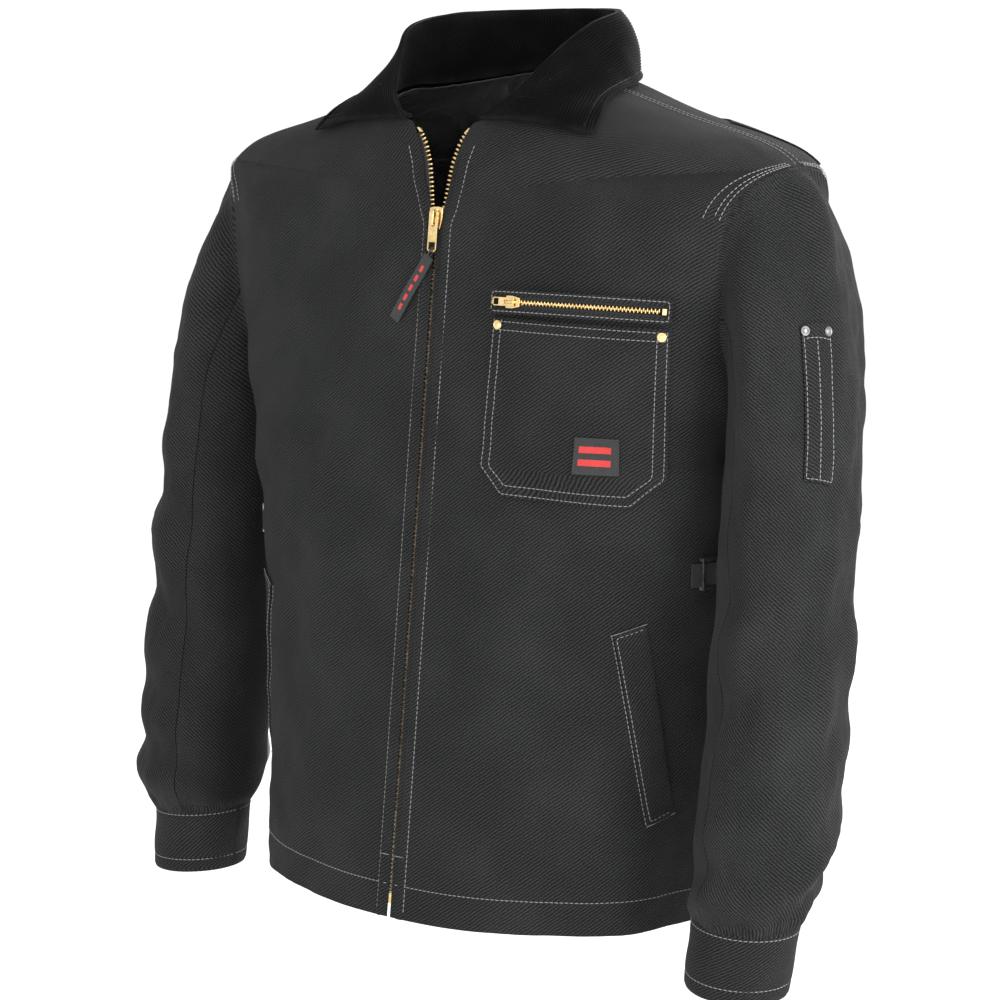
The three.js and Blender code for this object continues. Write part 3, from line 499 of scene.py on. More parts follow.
def find_front(x, z):
    """Angle and row of the front's point at x and z."""
    x, z = np.broadcast_arrays(np.asarray(x, float), np.asarray(z, float))
    low = np.zeros(x.shape)
    high = np.full(x.shape, float(NECK_ROW))
    for _ in range(34):
        row = (low + high) / 2
        below = (section_at(row)[0] > np.abs(x)) & (body_point(angle_at(x, row), row)[..., 2] < z)
        low, high = np.where(below, row, low), np.where(below, high, row)
    return angle_at(x, low), low


def front(x, z, offset=0.0):
    return body(*find_front(x, z), offset)


# ---- The opening of the front ----
SLIDER_TOP = -97.0
ZIP_BOTTOM = -651.0
CHAIN_RISE = np.array([-14, -9, -5.5, 0, 24, 35, 50, 60, 66], float)
CHAIN_OPEN = np.array([0, 1.2, 3.1, 5, 8.5, 10.5, 16, 22.5, 29], float)
NECK_FRONT = SLIDER_TOP + 64
CHAIN_TOP = NECK_FRONT - 5


def opening(z):
    return np.interp(z - SLIDER_TOP, CHAIN_RISE, CHAIN_OPEN)


def armhole_reach(row):
    away = (row - ARMHOLE_MID) / ARMHOLE_HALF
    return ARMHOLE_ANGLE * np.sqrt(np.clip(1 - away ** 2, 0, None))


def side_angle(row):
    return math.pi / 2 - armhole_reach(row) - SEAM_GAP / 2 / section_at(row)[0]


def edge_angle(row, inset):
    return angle_at(opening(section_at(row)[1]) + inset, row)


def row_list(step):
    """Rows of the panels, closer together round the armhole."""
    lower = np.linspace(0, UNDERARM_ROW, int(355 / step))
    turns = np.linspace(math.pi, 0, int(230 / step))
    armhole = ARMHOLE_MID + ARMHOLE_HALF * np.cos(turns)
    shoulder = np.linspace(TIP_ROW, NECK_ROW, int(200 / step))
    return np.concatenate([lower, armhole[1:], shoulder[1:]])


def rows_between(step, low, high):
    rows = row_list(step)
    inside = rows[(rows > low + 1e-3) & (rows < high - 1e-3)]
    return np.concatenate([[low], inside, [high]])


LEFT_RIGHT = (("left", 1), ("right", -1))
PLACKET = (0, 1, 2.2, 3.6, 4.6, 5.6, 6.8, 8.4, 10, 11.4, 12.4, 13.1, 13.8, 14.6, 16, 18.5, 21.5)
PANEL_WIDTH = 255.0


def front_columns(step):
    rest = np.arange(25, PANEL_WIDTH, step) / PANEL_WIDTH
    return np.concatenate([np.array(PLACKET) / PANEL_WIDTH, rest, [1.0]])


def placket_inset(row, side):
    """The cloth's edge covers most of the closed chain, and bares it where it opens."""
    rise = section_at(row)[1] - SLIDER_TOP
    bare = 4.6 if side < 0 else 1.2
    return 1.5 + (bare + 0.8) * smoothstep(rise, -4, 26)


def front_grid(side, columns, rows, inset=0.0):
    u, row = np.meshgrid(columns, rows)
    edge = edge_angle(row, placket_inset(row, side) + inset)
    angle = edge + (side_angle(row) - edge) * u
    return side * angle, row


def on_body(name, angle, row, low, high, material, slot, side=1, middle=False):
    """A layer of cloth on the body between two offsets, riding on the shell."""
    piece = sheet_object(name, body(angle, row, high), body(angle, row, low), material, side, middle)
    return attach(piece, slot, "shell")


# ---- Threads ----
DASH = 3.1
PITCH = 4.0
THREAD_RADIUS = 0.33


class Threads:
    """Stitches of one piece of work, gathered into one mesh."""

    def __init__(self, name, material=THREAD, radius=THREAD_RADIUS):
        self.name, self.material, self.radius = name, material, radius
        self.vertices, self.faces, self.count = [], [], 0

    def line(self, points, normals, dash=DASH, pitch=PITCH):
        lengths = np.concatenate([[0], np.cumsum(np.linalg.norm(np.diff(points, axis=0), axis=1))])
        starts = np.arange(pitch * 0.3, lengths[-1] - dash, pitch)
        if not len(starts):
            return

        def sample(values, at):
            return np.stack([np.interp(at, lengths, values[:, k]) for k in range(3)], axis=-1)

        begin, end = sample(points, starts), sample(points, starts + dash)
        out = sample(normals, starts + dash / 2)
        run = end - begin
        length = np.linalg.norm(run, axis=1, keepdims=True)
        run = run / length
        side = np.cross(run, out)
        side /= np.linalg.norm(side, axis=1, keepdims=True)
        sides = 5
        rings = []
        for share, size, lift in ((0, 0.35, -0.3), (0.2, 1, 0.1), (0.8, 1, 0.1), (1, 0.35, -0.3)):
            middle = begin + run * length * share + out * lift * self.radius
            for k in range(sides):
                turn = 2 * math.pi * k / sides
                spoke = side * math.cos(turn) + out * 0.8 * math.sin(turn)
                rings.append(middle + self.radius * size * spoke)
        block = np.stack(rings, axis=1)
        ring_faces = [[r * sides + k, r * sides + (k + 1) % sides, (r + 1) * sides + (k + 1) % sides,
                       (r + 1) * sides + k] for r in range(3) for k in range(sides)]
        caps = [list(range(sides))[::-1], [3 * sides + k for k in range(sides)]]
        for i in range(len(starts)):
            base = self.count + i * 4 * sides
            self.faces += [[base + k for k in face] for face in ring_faces + caps]
        self.vertices.append(block.reshape(-1, 3))
        self.count += block.shape[0] * block.shape[1]

    def on(self, surface, u, v, lift=0.2, **spacing):
        """A line over a surface(u, v, offset)."""
        u, v = np.broadcast_arrays(np.asarray(u, float), np.asarray(v, float))
        points = surface(u, v, lift)
        self.line(points, surface(u, v, lift + 1) - points, **spacing)

    def make(self, slot):
        piece = make_object(self.name, np.concatenate(self.vertices), self.faces, self.material, sharp=80)
        return piece


def polyline(corners, step=1.0):
    """Points along straight stretches between corners, as two arrays."""
    corners = np.asarray(corners, float)
    parts = []
    for a, b in zip(corners[:-1], corners[1:]):
        count = max(2, int(np.linalg.norm(b - a) / step))
        parts.append(a + (b - a) * np.linspace(0, 1, count)[:, None])
    path = np.concatenate(parts)
    return path[:, 0], path[:, 1]


# ---- Shell panels ----
BODY_STEP = 4.2
FACE_GAP = 0.95
PATCH = CLOTH + FACE_GAP
rows = row_list(BODY_STEP)
HEM_ROW = 35 / 101
LINING_LOW, LINING_HIGH = -4.6, -3.7
HEM_LOW, HEM_HIGH = -1.85, -0.95
STITCH_AT = {1: 13.2, -1: 10.6}


def placket_relief(d, side):
    """Outer face of the folded edge: thin over the teeth, full to the stitch line, flat beyond it."""
    at = STITCH_AT[side]
    fold = 1.3 * smoothstep(d, 5.4, 7.4) * (1 - smoothstep(d, at - 1.8, at + 1.2))
    full = CLOTH + fold - 0.4 * bell(d, at, 0.8)
    return np.where(d < 5.4, CLOTH - 0.15, full)


def lining_faces(angle, row, seed):
    """The offsets of the lining's two faces: puckered, and slack at the shoulder's tip."""
    pucker = 0.35 * ripples(angle * BODY_RADIUS, row * 60, 26, seed, 3)
    slack = 1.5 * bell(row, TIP_ROW, 0.9)
    return LINING_LOW - slack + pucker, LINING_HIGH - slack + pucker


for name, side in LEFT_RIGHT:
    angle, row = front_grid(side, front_columns(BODY_STEP), rows)
    base = body(angle, row)
    d = arc_lengths(base, 1)
    near = smoothstep(section_at(row)[1], -50, -70)
    high = CLOTH + (placket_relief(d, side) - CLOTH) * near
    hem_groove = -0.5 * bell(row, HEM_ROW, 0.012)
    to_seam = arc_lengths(base[:, ::-1], 1)[:, ::-1]
    seam_ridge = 1.5 * (1 - smoothstep(to_seam, 4, 15)) * smoothstep(row, UNDERARM_ROW, UNDERARM_ROW + 0.4)
    seam_ridge = seam_ridge * (1 - smoothstep(row, TIP_ROW - 0.1, TIP_ROW + 0.3))
    low = np.where(d < 5.8, 0.95 * near, 0.0)
    panel = on_body(f"{name}_front", angle, row, low, high + (hem_groove + seam_ridge), DUCK,
                    "cotton_duck", side)
    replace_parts(panel, f"{name}_front_panel")

    inner_rows = rows_between(6, 0.32, NECK_ROW)
    u, row = np.meshgrid(np.linspace(0.12, 1, 40), inner_rows)
    edge = edge_angle(row, 8)
    angle = side * (edge + (side_angle(row) - edge) * u)
    lining = on_body(f"{name}_front_lining_cloth", angle, row, *lining_faces(angle, row, 12), SATIN,
                     "lining_satin", side)
    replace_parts(lining, f"{name}_front_lining")

    facing_rows = rows_between(5, HEM_ROW + 0.02, NECK_ROW - 0.02)
    u, row = np.meshgrid(np.linspace(0, 0.26, 14), facing_rows)
    edge = edge_angle(row, 9)
    angle = side * (edge + (side_angle(row) - edge) * u)
    facing = on_body(f"{name}_facing", angle, row, -2.6, -1.75, DUCK_INSIDE, "cotton_duck", side)
    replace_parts(facing, f"{name}_front_facing")

    u, row = np.meshgrid(np.linspace(0, 1, 60), np.linspace(0, HEM_ROW, 9))
    edge = edge_angle(row, 18)
    angle = side * (edge + (side_angle(row) - edge) * u)
    turn_up = on_body(f"{name}_hem", angle, row, HEM_LOW, HEM_HIGH, DUCK_INSIDE, "cotton_duck", side)
    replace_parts(turn_up, f"{name}_front_hem_turn")


def back_grid(columns, row_values):
    u, row = np.meshgrid(columns, row_values)
    return math.pi - u * side_angle(row), row


angle, row = back_grid(np.linspace(-1, 1, 141), rows)
back = on_body("back", angle, row, 0, CLOTH - 0.5 * bell(row, HEM_ROW, 0.012), DUCK, "cotton_duck", 1, True)
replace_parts(back, "back_panel")
angle, row = back_grid(np.linspace(-1, 1, 101), rows_between(6, 0.32, NECK_ROW))
back_lining = on_body("back_lining_cloth", angle, row, *lining_faces(angle, row, 13), SATIN,
                      "lining_satin", 1, True)
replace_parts(back_lining, "back_lining")
angle, row = back_grid(np.linspace(-1, 1, 101), np.linspace(0, HEM_ROW, 9))
back_hem = on_body("back_hem", angle, row, HEM_LOW, HEM_HIGH, DUCK_INSIDE, "cotton_duck", 1, True)
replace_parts(back_hem, "back_hem_turn")

for name, side in LEFT_RIGHT:
    angle, row = back_grid(side * np.linspace(0.52, 0.87, 26), rows_between(BODY_STEP, 3.45, 8.65))
    fold = side * (math.pi - angle) / side_angle(row)
    lift = 1.6 * bell(fold, 0.52, 0.05)
    pleat = on_body(f"{name}_pleat", angle, row, PATCH - 0.6, PATCH + 0.6 + lift, DUCK, "cotton_duck", side)
    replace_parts(pleat, f"{name}_back_pleat")

# ---- Seams of the shell ----
seams = Threads("shell_stitching")
TACK_HEIGHT = -612.0
for side in (1, -1):
    z = np.arange(-657, -46, 2.0)
    for_side = lambda x, z, lift, s=side: front(s * x, z, lift)
    row_here = find_front(opening(z) + 15, z)[1]
    seams.on(for_side, opening(z) + placket_inset(row_here, side) + STITCH_AT[side], z, CLOTH + 0.15)
    tack = np.linspace(2.6, 12.5, 8)
    seams.on(for_side, tack, TACK_HEIGHT, CLOTH + 1.1, dash=1.1, pitch=1.15)
    turn = np.linspace(0, 1, 260)
    row = np.full(turn.shape, HEM_ROW)
    edge = edge_angle(row, 3)
    seams.on(body, side * (edge + (side_angle(row) - edge) * turn), row, CLOTH + 0.15)
    seams.on(body, side * (math.pi - (math.pi / 2) * turn), row, CLOTH + 0.15)
    low_rows = np.linspace(0.02, UNDERARM_ROW, 300)
    seams.on(body, side * (math.pi / 2 + 3 / 225), low_rows, CLOTH + 0.15)
    for out in (3.0, 6.5, 12.5):
        for first, last in ((0.12, 1.25), (-0.12, -2.2)):
            hole = np.linspace(first, last, 160)
            seams.on(body, side * (math.pi / 2 - (ARMHOLE_ANGLE + (out + 2) / 250) * np.sin(hole)),
                     ARMHOLE_MID + (ARMHOLE_HALF + out / 62) * np.cos(hole),
                     CLOTH + (1.75 if out < 8 else 0.9))
    high_rows = np.linspace(TIP_ROW + 0.1, NECK_ROW - 0.1, 200)
    for out in (3.0, 10.0):
        seams.on(body, side * (math.pi / 2 + out / np.interp(high_rows, [6.5, 11], [250, 80])), high_rows,
                 CLOTH + 0.15)
    pleat_rows = np.linspace(3.5, 8.6, 260)
    seams.on(body, side * (math.pi - 0.545 * side_angle(pleat_rows)), pleat_rows, PATCH + 1.2)

# ---- Chest pocket and its zip ----
POCKET_TOP, POCKET_HEIGHT, POCKET_CUT = -179.0, 138.0, 22.0
POCKET_LEFT, POCKET_RIGHT = 63.0, 212.0
POCKET_WIDTH = POCKET_RIGHT - POCKET_LEFT


def pocket_place(u, v):
    """x and z on the front for a share across and down the pocket, whose lower corners are cut."""
    cut = 1 - POCKET_CUT / POCKET_HEIGHT
    inset = np.clip((v - cut) / (1 - cut), 0, None) * POCKET_CUT
    x = POCKET_LEFT - 4 * v + inset + (POCKET_WIDTH - v - 2 * inset) * u
    return x, POCKET_TOP - POCKET_HEIGHT * v - 3 * u


def on_pocket(u, v, lift):
    return front(*pocket_place(u, v), lift)


def pocket_face(u, v):
    """Offset of the pocket's outer face: folded edges and a soft middle."""
    inset = np.minimum(np.minimum(u, 1 - u) * POCKET_WIDTH, np.minimum(v, 1 - v) * POCKET_HEIGHT)
    puff = 0.5 * smoothstep(inset, 1, 5) * (1 - smoothstep(inset, 9, 14)) + 0.5 * smoothstep(inset, 14, 50)
    return PATCH + 0.75 + puff + 0.25 * ripples(u * POCKET_WIDTH, v * POCKET_HEIGHT, 34, 21)


def on_pocket_face(u, v, lift):
    return on_pocket(u, v, pocket_face(u, v) + lift)


u, v = np.meshgrid(np.linspace(0, 1, 76), np.linspace(0, 1, 70))
pocket = sheet_object("chest_pocket_cloth", on_pocket_face(u, v, 0), on_pocket(u, v, PATCH - 0.7), DUCK, -1)
attach(pocket, "cotton_duck", "shell", "chest_pocket")
trim = Threads("chest_stitching")
cut = 1 - POCKET_CUT / POCKET_HEIGHT
for inset in (2.2, 9.0):
    su, sv = inset / POCKET_WIDTH, inset / POCKET_HEIGHT
    slope = 0.6 * inset / POCKET_WIDTH
    corners = [(su, 0.0), (su, cut - slope), (su + 0.02 * slope, cut - slope * 0.6),
               (su + slope, 1 - sv), (1 - su - slope, 1 - sv),
               (1 - su, cut - slope * 0.6), (1 - su, 0.0)]
    pu, pv = polyline(corners, 0.01)
    trim.on(on_pocket_face, pu, pv, 0.12)
for down in (3.0, 9.5):
    pu = np.linspace(0.015, 0.985, 150)
    trim.on(on_pocket_face, pu, down / POCKET_HEIGHT, 0.12)

chest_joint = JOINTS["chest_zip_slide"]
ARC_MIDDLE = np.array(chest_joint["pos_m"]) / MM
ARC_UP = np.array(chest_joint["axis"]) / np.linalg.norm(chest_joint["axis"])
ARC_OUT = np.cross(ARC_UP, (-1.0, 0, 0))
CHEST_START, CHEST_HEIGHT = 64.0, -167.0
first = front(np.array([CHEST_START]), np.array([CHEST_HEIGHT]), CLOTH)[0] - ARC_MIDDLE
ARC_RADIUS = math.hypot(first[0], first @ ARC_OUT)
ARC_LIFT = 2.2
ARC_START = math.asin(first[0] / ARC_RADIUS)
ARC_LENGTH = 152.85


def on_arc(s, v, n):
    """A point at s along the chest zip, v up and n off the cloth."""
    s, v, n = np.broadcast_arrays(np.asarray(s, float), np.asarray(v, float), np.asarray(n, float))
    turn = ARC_START + s / ARC_RADIUS
    r = (ARC_RADIUS + ARC_LIFT + n)[..., None]
    return ARC_MIDDLE + r * np.sin(turn)[..., None] * np.array([1.0, 0, 0]) + \
        r * np.cos(turn)[..., None] * ARC_OUT + v[..., None] * ARC_UP


def strip_on_arc(name, s0, s1, v0, v1, low, high, material, slot, crown=0.0):
    s, v = np.meshgrid(np.linspace(s0, s1, max(4, int((s1 - s0) / 1.5))), np.linspace(v0, v1, 9))
    rise = crown * (1 - (2 * (v - v0) / (v1 - v0) - 1) ** 4)
    piece = sheet_object(name, on_arc(s, v, high + rise), on_arc(s, v, low), material)
    return attach(piece, slot, "shell")


WINDOW_LOW = 4.1
slot_half, window_half = 4.4, 9.5
bars = [strip_on_arc(f"chest_window_{name}", a, b, c, d, WINDOW_LOW, WINDOW_LOW + 1.1, DUCK,
                     "cotton_duck", 0.35)
        for name, a, b, c, d in (("upper", 0, ARC_LENGTH, slot_half, window_half),
                                 ("lower", 0, ARC_LENGTH, -window_half, -slot_half),
                                 ("inner", 0, 6, -slot_half, slot_half),
                                 ("outer", ARC_LENGTH - 4, ARC_LENGTH, -slot_half, slot_half))]
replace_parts(bars[0], "chest_zip_window")
for name, way in (("upper", 1), ("lower", -1)):
    near, far = sorted((way * 2.4, way * 8.6))
    tape = strip_on_arc(f"chest_tape_{name}", 4, ARC_LENGTH - 3, near, far, 3.1, 3.6, TAPE, "zip_tape")
    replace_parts(tape, f"chest_zip_{name}_tape")
frame_u, frame_v = polyline([(2, -7.4), (2, 7.6), (ARC_LENGTH - 2, 7.6), (ARC_LENGTH - 2, -7.4), (2, -7.4)])
trim.on(on_arc, frame_u, frame_v, WINDOW_LOW + 1.5)
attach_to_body(trim.make("cotton_duck"), "shell")

# ---- Zip teeth ----
TOOTH_RINGS = ((-0.9, 0.55, 0.6), (-0.5, 0.86, 1.15), (1.6, 0.92, 1.3), (2.6, 0.8, 1.15), (3.0, 0.45, 0.7))


class Teeth:
    """Zip teeth gathered into one mesh: each reaches from the tape over the middle of the chain."""

    def __init__(self, name, material=BRASS):
        self.name, self.material, self.vertices, self.faces = name, material, [], []

    def tooth(self, root, reach, up, out, size=1.0):
        base = 8 * len(TOOTH_RINGS) * len(self.vertices)
        points = []
        for at, half_up, half_out in TOOTH_RINGS:
            for k in range(8):
                turn = 2 * math.pi * (k + 0.5) / 8
                points.append(root + size * (reach * at + up * half_up * math.cos(turn) * 1.1
                                             + out * half_out * math.sin(turn) * 1.1))
        self.vertices.append(np.array(points))
        rings = len(TOOTH_RINGS)
        self.faces += [[base + r * 8 + k, base + r * 8 + (k + 1) % 8, base + (r + 1) * 8 + (k + 1) % 8,
                        base + (r + 1) * 8 + k] for r in range(rings - 1) for k in range(8)]
        self.faces += [[base + k for k in range(8)][::-1], [base + (rings - 1) * 8 + k for k in range(8)]]

    def make(self, slot):
        piece = make_object(self.name, np.concatenate(self.vertices), self.faces, self.material, sharp=50)
        return attach(piece, slot, "shell")


def unit(v):
    return v / np.linalg.norm(v)


TOOTH_PITCH = 3.5
ZIP_UP = unit(np.array([0, ZIP_LEAN, 1.0]))
ZIP_OUT = unit(np.array([0, -1.0, ZIP_LEAN]))
for name, side in LEFT_RIGHT:
    open_teeth, closed_teeth = Teeth(f"{name}_teeth"), Teeth(f"{name}_closed_teeth", SHADED_BRASS)
    shift = 0 if side > 0 else TOOTH_PITCH / 2
    z = ZIP_BOTTOM + 10 + shift
    while z < CHAIN_TOP:
        x = opening(z)
        ahead = opening(z + 1) - x
        root = front(np.array([side * (x + 1.9)]), np.array([z]), -0.45)[0]
        up = unit(ZIP_UP + np.array([side * ahead, 0, 0]))
        reach = unit(np.cross(up, ZIP_OUT) * -side)
        # Teeth below the slider take the darker brass copy, as painted shade from the placket edges.
        teeth = open_teeth if z > SLIDER_TOP - 12 else closed_teeth
        teeth.tooth(root, reach, up, ZIP_OUT)
        z += TOOTH_PITCH / math.hypot(1, ahead)
    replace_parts(open_teeth.make("brass"), f"{name}_zip_teeth")
    closed_teeth.make("brass")
    z = np.concatenate([np.linspace(ZIP_BOTTOM, SLIDER_TOP - 14, 120),
                        np.linspace(SLIDER_TOP - 13, CHAIN_TOP, 50)])
    across, height = np.meshgrid(np.linspace(2.6, 15.5, 7), z)
    x = side * (opening(height) + across)
    bead = 0.5 * bell(across, 2.9, 0.8)
    tape = sheet_object(f"{name}_tape", front(x, height, -0.8 + bead),
                        front(x, height, -1.3 - bead), TAPE, side)
    attach(tape, "zip_tape", "shell", f"{name}_zip_tape")

for name, way in (("upper", 1), ("lower", -1)):
    teeth = Teeth(f"chest_teeth_{name}")
    s = 23.0 + (0 if way > 0 else 1.5)
    while s < ARC_LENGTH - 9:
        root = on_arc(s, way * 1.45, 3.5)
        along_zip = unit(on_arc(s + 1, 0, 3.5) - on_arc(s - 1, 0, 3.5))
        teeth.tooth(root, -way * ARC_UP, along_zip, unit(on_arc(s, 0, 5) - on_arc(s, 0, 4)), 0.78)
        s += 3.0
    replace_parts(teeth.make("brass"), f"chest_zip_{name}_teeth")


# ---- Metal pieces kept from the frame, with rounded edges ----
def refined(node, body_name, width, material, segments=3):
    """A copy of a node of the frame with its edges rounded."""
    source = frame["nodes"][node]
    bm = bmesh.new()
    bm.from_mesh(source.data)
    bmesh.ops.remove_doubles(bm, verts=bm.verts, dist=1e-6)
    bmesh.ops.dissolve_limit(bm, angle_limit=rad(4), verts=bm.verts, edges=bm.edges)
    edges = [e for e in bm.edges if len(e.link_faces) == 2 and e.calc_face_angle(0) > rad(20)]
    bmesh.ops.bevel(bm, geom=edges, offset=width * MM, segments=segments, profile=0.6, affect="EDGES",
                    clamp_overlap=True)
    bmesh.ops.triangulate(bm, faces=[f for f in bm.faces if len(f.verts) > 4])
    mesh = bpy.data.meshes.new(f"{node}_metal")
    bm.to_mesh(mesh)
    bm.free()
    mesh.materials.append(material)
    mesh.shade_smooth()
    mesh.set_sharp_from_angle(angle=rad(35))
    piece = bpy.data.objects.new(f"{node}_metal", mesh)
    bpy.context.scene.collection.objects.link(piece)
    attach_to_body(piece, body_name)
    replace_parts(piece, node)
    return piece


for node, body_name, width in (
        ("front_slider", "front_slider", 0.45), ("front_pull", "front_pull", 0.4),
        ("chest_slider", "chest_slider", 0.3), ("chest_pull", "chest_pull", 0.3),
        ("left_zip_top_stop", "shell", 0.3), ("right_zip_top_stop", "shell", 0.3),
        ("zip_bottom_box", "shell", 0.4), ("chest_zip_end_stop", "shell", 0.4)):
    refined(node, body_name, width, BRASS)
for name, side in LEFT_RIGHT:
    refined(f"{name}_adjuster_buckle", f"{name}_buckle", 0.4, DARK_METAL)

# The rivet's profile: radius and height above the cloth.
RIVET = [(0, 1.35), (1.2, 1.3), (2.0, 1.1), (2.35, 0.75), (2.6, 0.72), (2.9, 1.0), (3.35, 1.0),
         (3.7, 0.7), (3.75, 0.1), (3.5, -0.3), (0, -0.3)]


def rivet(node, point, normal, body_name, material):
    """A turned rivet head with a raised rim and a low dome."""
    spin = 28
    out = unit(normal)
    side = unit(np.cross(out, (0.0, 0, 1.0)))
    up = np.cross(side, out)
    vertices = [point + out * RIVET[0][1]]
    for radius, height in RIVET[1:-1]:
        for k in range(spin):
            turn = 2 * math.pi * k / spin
            vertices.append(point + out * height + radius * (side * math.cos(turn) + up * math.sin(turn)))
    vertices.append(point + out * RIVET[-1][1])
    rings = len(RIVET) - 2
    faces = [[0, 1 + k, 1 + (k + 1) % spin] for k in range(spin)]
    for r in range(rings - 1):
        faces += [[1 + r * spin + k, 1 + (r + 1) * spin + k, 1 + (r + 1) * spin + (k + 1) % spin,
                   1 + r * spin + (k + 1) % spin] for k in range(spin)]
    last, start = len(vertices) - 1, 1 + (rings - 1) * spin
    faces += [[last, start + (k + 1) % spin, start + k] for k in range(spin)]
    piece = make_object(f"{node}_head", vertices, faces, material, sharp=60)
    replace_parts(piece, node)
    if body_name:
        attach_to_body(piece, body_name)
    return piece


for node, x, z in (("chest_rivet_inner", POCKET_LEFT + 6, POCKET_TOP - 6),
                   ("chest_rivet_outer", POCKET_RIGHT - 6, POCKET_TOP - 9)):
    low, high = (front(np.array([x]), np.array([z]), PATCH + lift)[0] for lift in (1.5, 2.5))
    rivet(node, low, high - low, "shell", BRASS)

u, v = np.meshgrid(np.linspace(-17, 17, 22), np.linspace(-14, 14, 18))
frill = 0.3 * ripples(u, v, 11, 31)
label_x, label_z = 160 + u, -281 - v
label = sheet_object("chest_label", front(label_x, label_z, PATCH + 2.55 + frill),
                     front(label_x, label_z, PATCH + 1.5 + frill), LABEL)
attach(label, "badge", "shell", "chest_badge")

# ---- Hand pockets ----
welt_stitching = Threads("welt_stitching")
for name, side in LEFT_RIGHT:
    def on_welt(u, v, lift, s=side):
        row = 2.11 + (0.9 - 2.11) * v + (-0.03 + 0.06 * u)
        angle = 62.8 + (70.4 - 62.8) * v - 3.3 + 6.2 * u
        return body(s * np.radians(angle), row, lift)

    u, v = np.meshgrid(np.linspace(0, 1, 12), np.linspace(0, 1, 60))
    bulge = 0.7 * smoothstep(u, 0.02, 0.25) * (1 - smoothstep(u, 0.8, 1.0))
    bulge = bulge + 0.9 * smoothstep(u, 0.6, 0.95) * bell(v, 0.5, 0.3)
    welt = sheet_object(f"{name}_welt", on_welt(u, v, PATCH + 1.2 + bulge),
                        on_welt(u, v, PATCH - 0.8), DUCK, -side)
    attach(welt, "cotton_duck", "shell", f"{name}_pocket_welt")
    u, v = np.meshgrid(np.linspace(-4, 1, 20), np.linspace(-0.1, 1.15, 30))
    bag = sheet_object(f"{name}_bag", on_welt(u, v, -1.7), on_welt(u, v, -2.2), POCKETING, side)
    attach(bag, "pocket_cloth", "shell", f"{name}_pocket_bag")
    u, v = polyline([(0.93, 0.02), (0.07, 0.02), (0.07, 0.98), (0.93, 0.98)], 0.01)
    welt_stitching.on(on_welt, u, v, PATCH + 1.75)
    u, v = polyline([(-0.06, 0.0), (-0.06, 1.0)], 0.01)
    welt_stitching.on(on_welt, u, v, CLOTH + 0.2)
    for v_tack in (0.0, 1.0):
        u, v = polyline([(-0.1, v_tack), (1.05, v_tack)], 0.01)
        welt_stitching.on(on_welt, u, v, PATCH + 1.6, dash=1.2, pitch=1.25)
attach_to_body(welt_stitching.make("cotton_duck"), "shell")
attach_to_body(seams.make("cotton_duck"), "shell")

# ---- Collar ----
NECK_HALF = 88.0
WALE = 2.7
ROLL = np.array([[0.432, -89, -27], [0.682, -73, -6], [0.886, -42, 26], [1.023, -12, 47],
                 [0.955, 34, 57], [0.568, 66, 60], [0, 78, 61]], float) * np.array([NECK_HALF, 1, 1])
LEAF_EDGE = np.array([[69, 60], [42, 72], [26, 90], [20, 110], [18, 130], [16, 152], [16, 180]], float)


def roll_point(u):
    p = along(ROLL, (len(ROLL) - 1) * (1 - np.abs(u)))
    return p * np.stack([np.sign(u), np.ones_like(u), np.ones_like(u)], axis=-1)


def collar_seam(u):
    edge = edge_angle(float(NECK_ROW), 9)
    return body(np.sign(u) * (math.pi + (edge - math.pi) * np.abs(u)), NECK_ROW) + np.array([0, 0, 2.85])


def leaf_end(u):
    out, angle = np.moveaxis(along(LEAF_EDGE, (len(LEAF_EDGE) - 1) * (1 - np.abs(u))), -1, 0)
    angle = np.radians(angle)
    row = np.full(u.shape, TIP_ROW + 1)
    for _ in range(40):
        p = body_point(angle, row)
        row = row + np.clip((np.hypot(p[..., 0], p[..., 1]) - NECK_HALF - out) / 120, -0.3, 0.3)
        row = np.clip(row, TIP_ROW, NECK_ROW)
    return body(np.sign(u) * angle, row, CLOTH + 4.5)


def stand_point(u, v):
    seam, roll = collar_seam(u), roll_point(u)
    return seam + (roll - seam) * v[..., None]


def leaf_point(u, v):
    roll, end = roll_point(u), leaf_end(u)
    bulge = 5 * np.sin(math.pi * np.minimum(v * 1.1, 1))
    p = roll + (end - roll) * v[..., None]
    away = p * np.array([1, 1, 0]) - np.array([0, 5, 0])
    away = away / np.linalg.norm(away, axis=-1, keepdims=True)
    p = p + away * (bulge + 0.4 * (1 - v))[..., None]
    p[..., 2] += 0.7 * bulge
    return p


def collar_piece(name, point, u_count, v_values, low, high, along_u):
    """Corduroy with real ribs: along the collar on the leaf, up it on the stand."""
    u, v = np.meshgrid(np.linspace(-0.999, 0.999, u_count), v_values)
    u = np.where(np.abs(u) < 1e-6, 1e-6, u)
    p = point(u, v)
    normal = grid_normals(p)
    out = p - np.array([0, 5, 0])
    out[..., 2] = 0
    facing = np.sign(np.sum(normal[1] * out[1], axis=-1).mean())
    normal = normal * facing
    distance = arc_lengths(p, 0) if along_u else arc_lengths(p, 1)
    wobble = 0.25 * ripples(u * 300, v * 60, 40, 41)
    wale = np.abs(np.sin(math.pi * (distance + wobble) / WALE)) ** 0.6
    edge = arc_lengths(p, 0)[-1] - arc_lengths(p, 0)
    press = 0.6 * bell(edge, 6.5, 1.0) if along_u else 0
    soft = 0.9 * ripples(u * 300, v * 70, 75, 42, 0.6) * np.sin(math.pi * np.clip(v, 0, 1)) if along_u else 0
    round_edge = 1 - 0.55 * bell(edge, 0, 1.2) if along_u else 1.0
    outer = p + normal * ((high - 0.9 + soft + 0.95 * wale - press) * round_edge)[..., None]
    inner = p + normal * (low + soft if along_u else low - 0.7 * wale)[..., None]
    piece = sheet_object(name, outer, inner, CORDUROY, 1, True)
    return attach(piece, "corduroy", "shell")


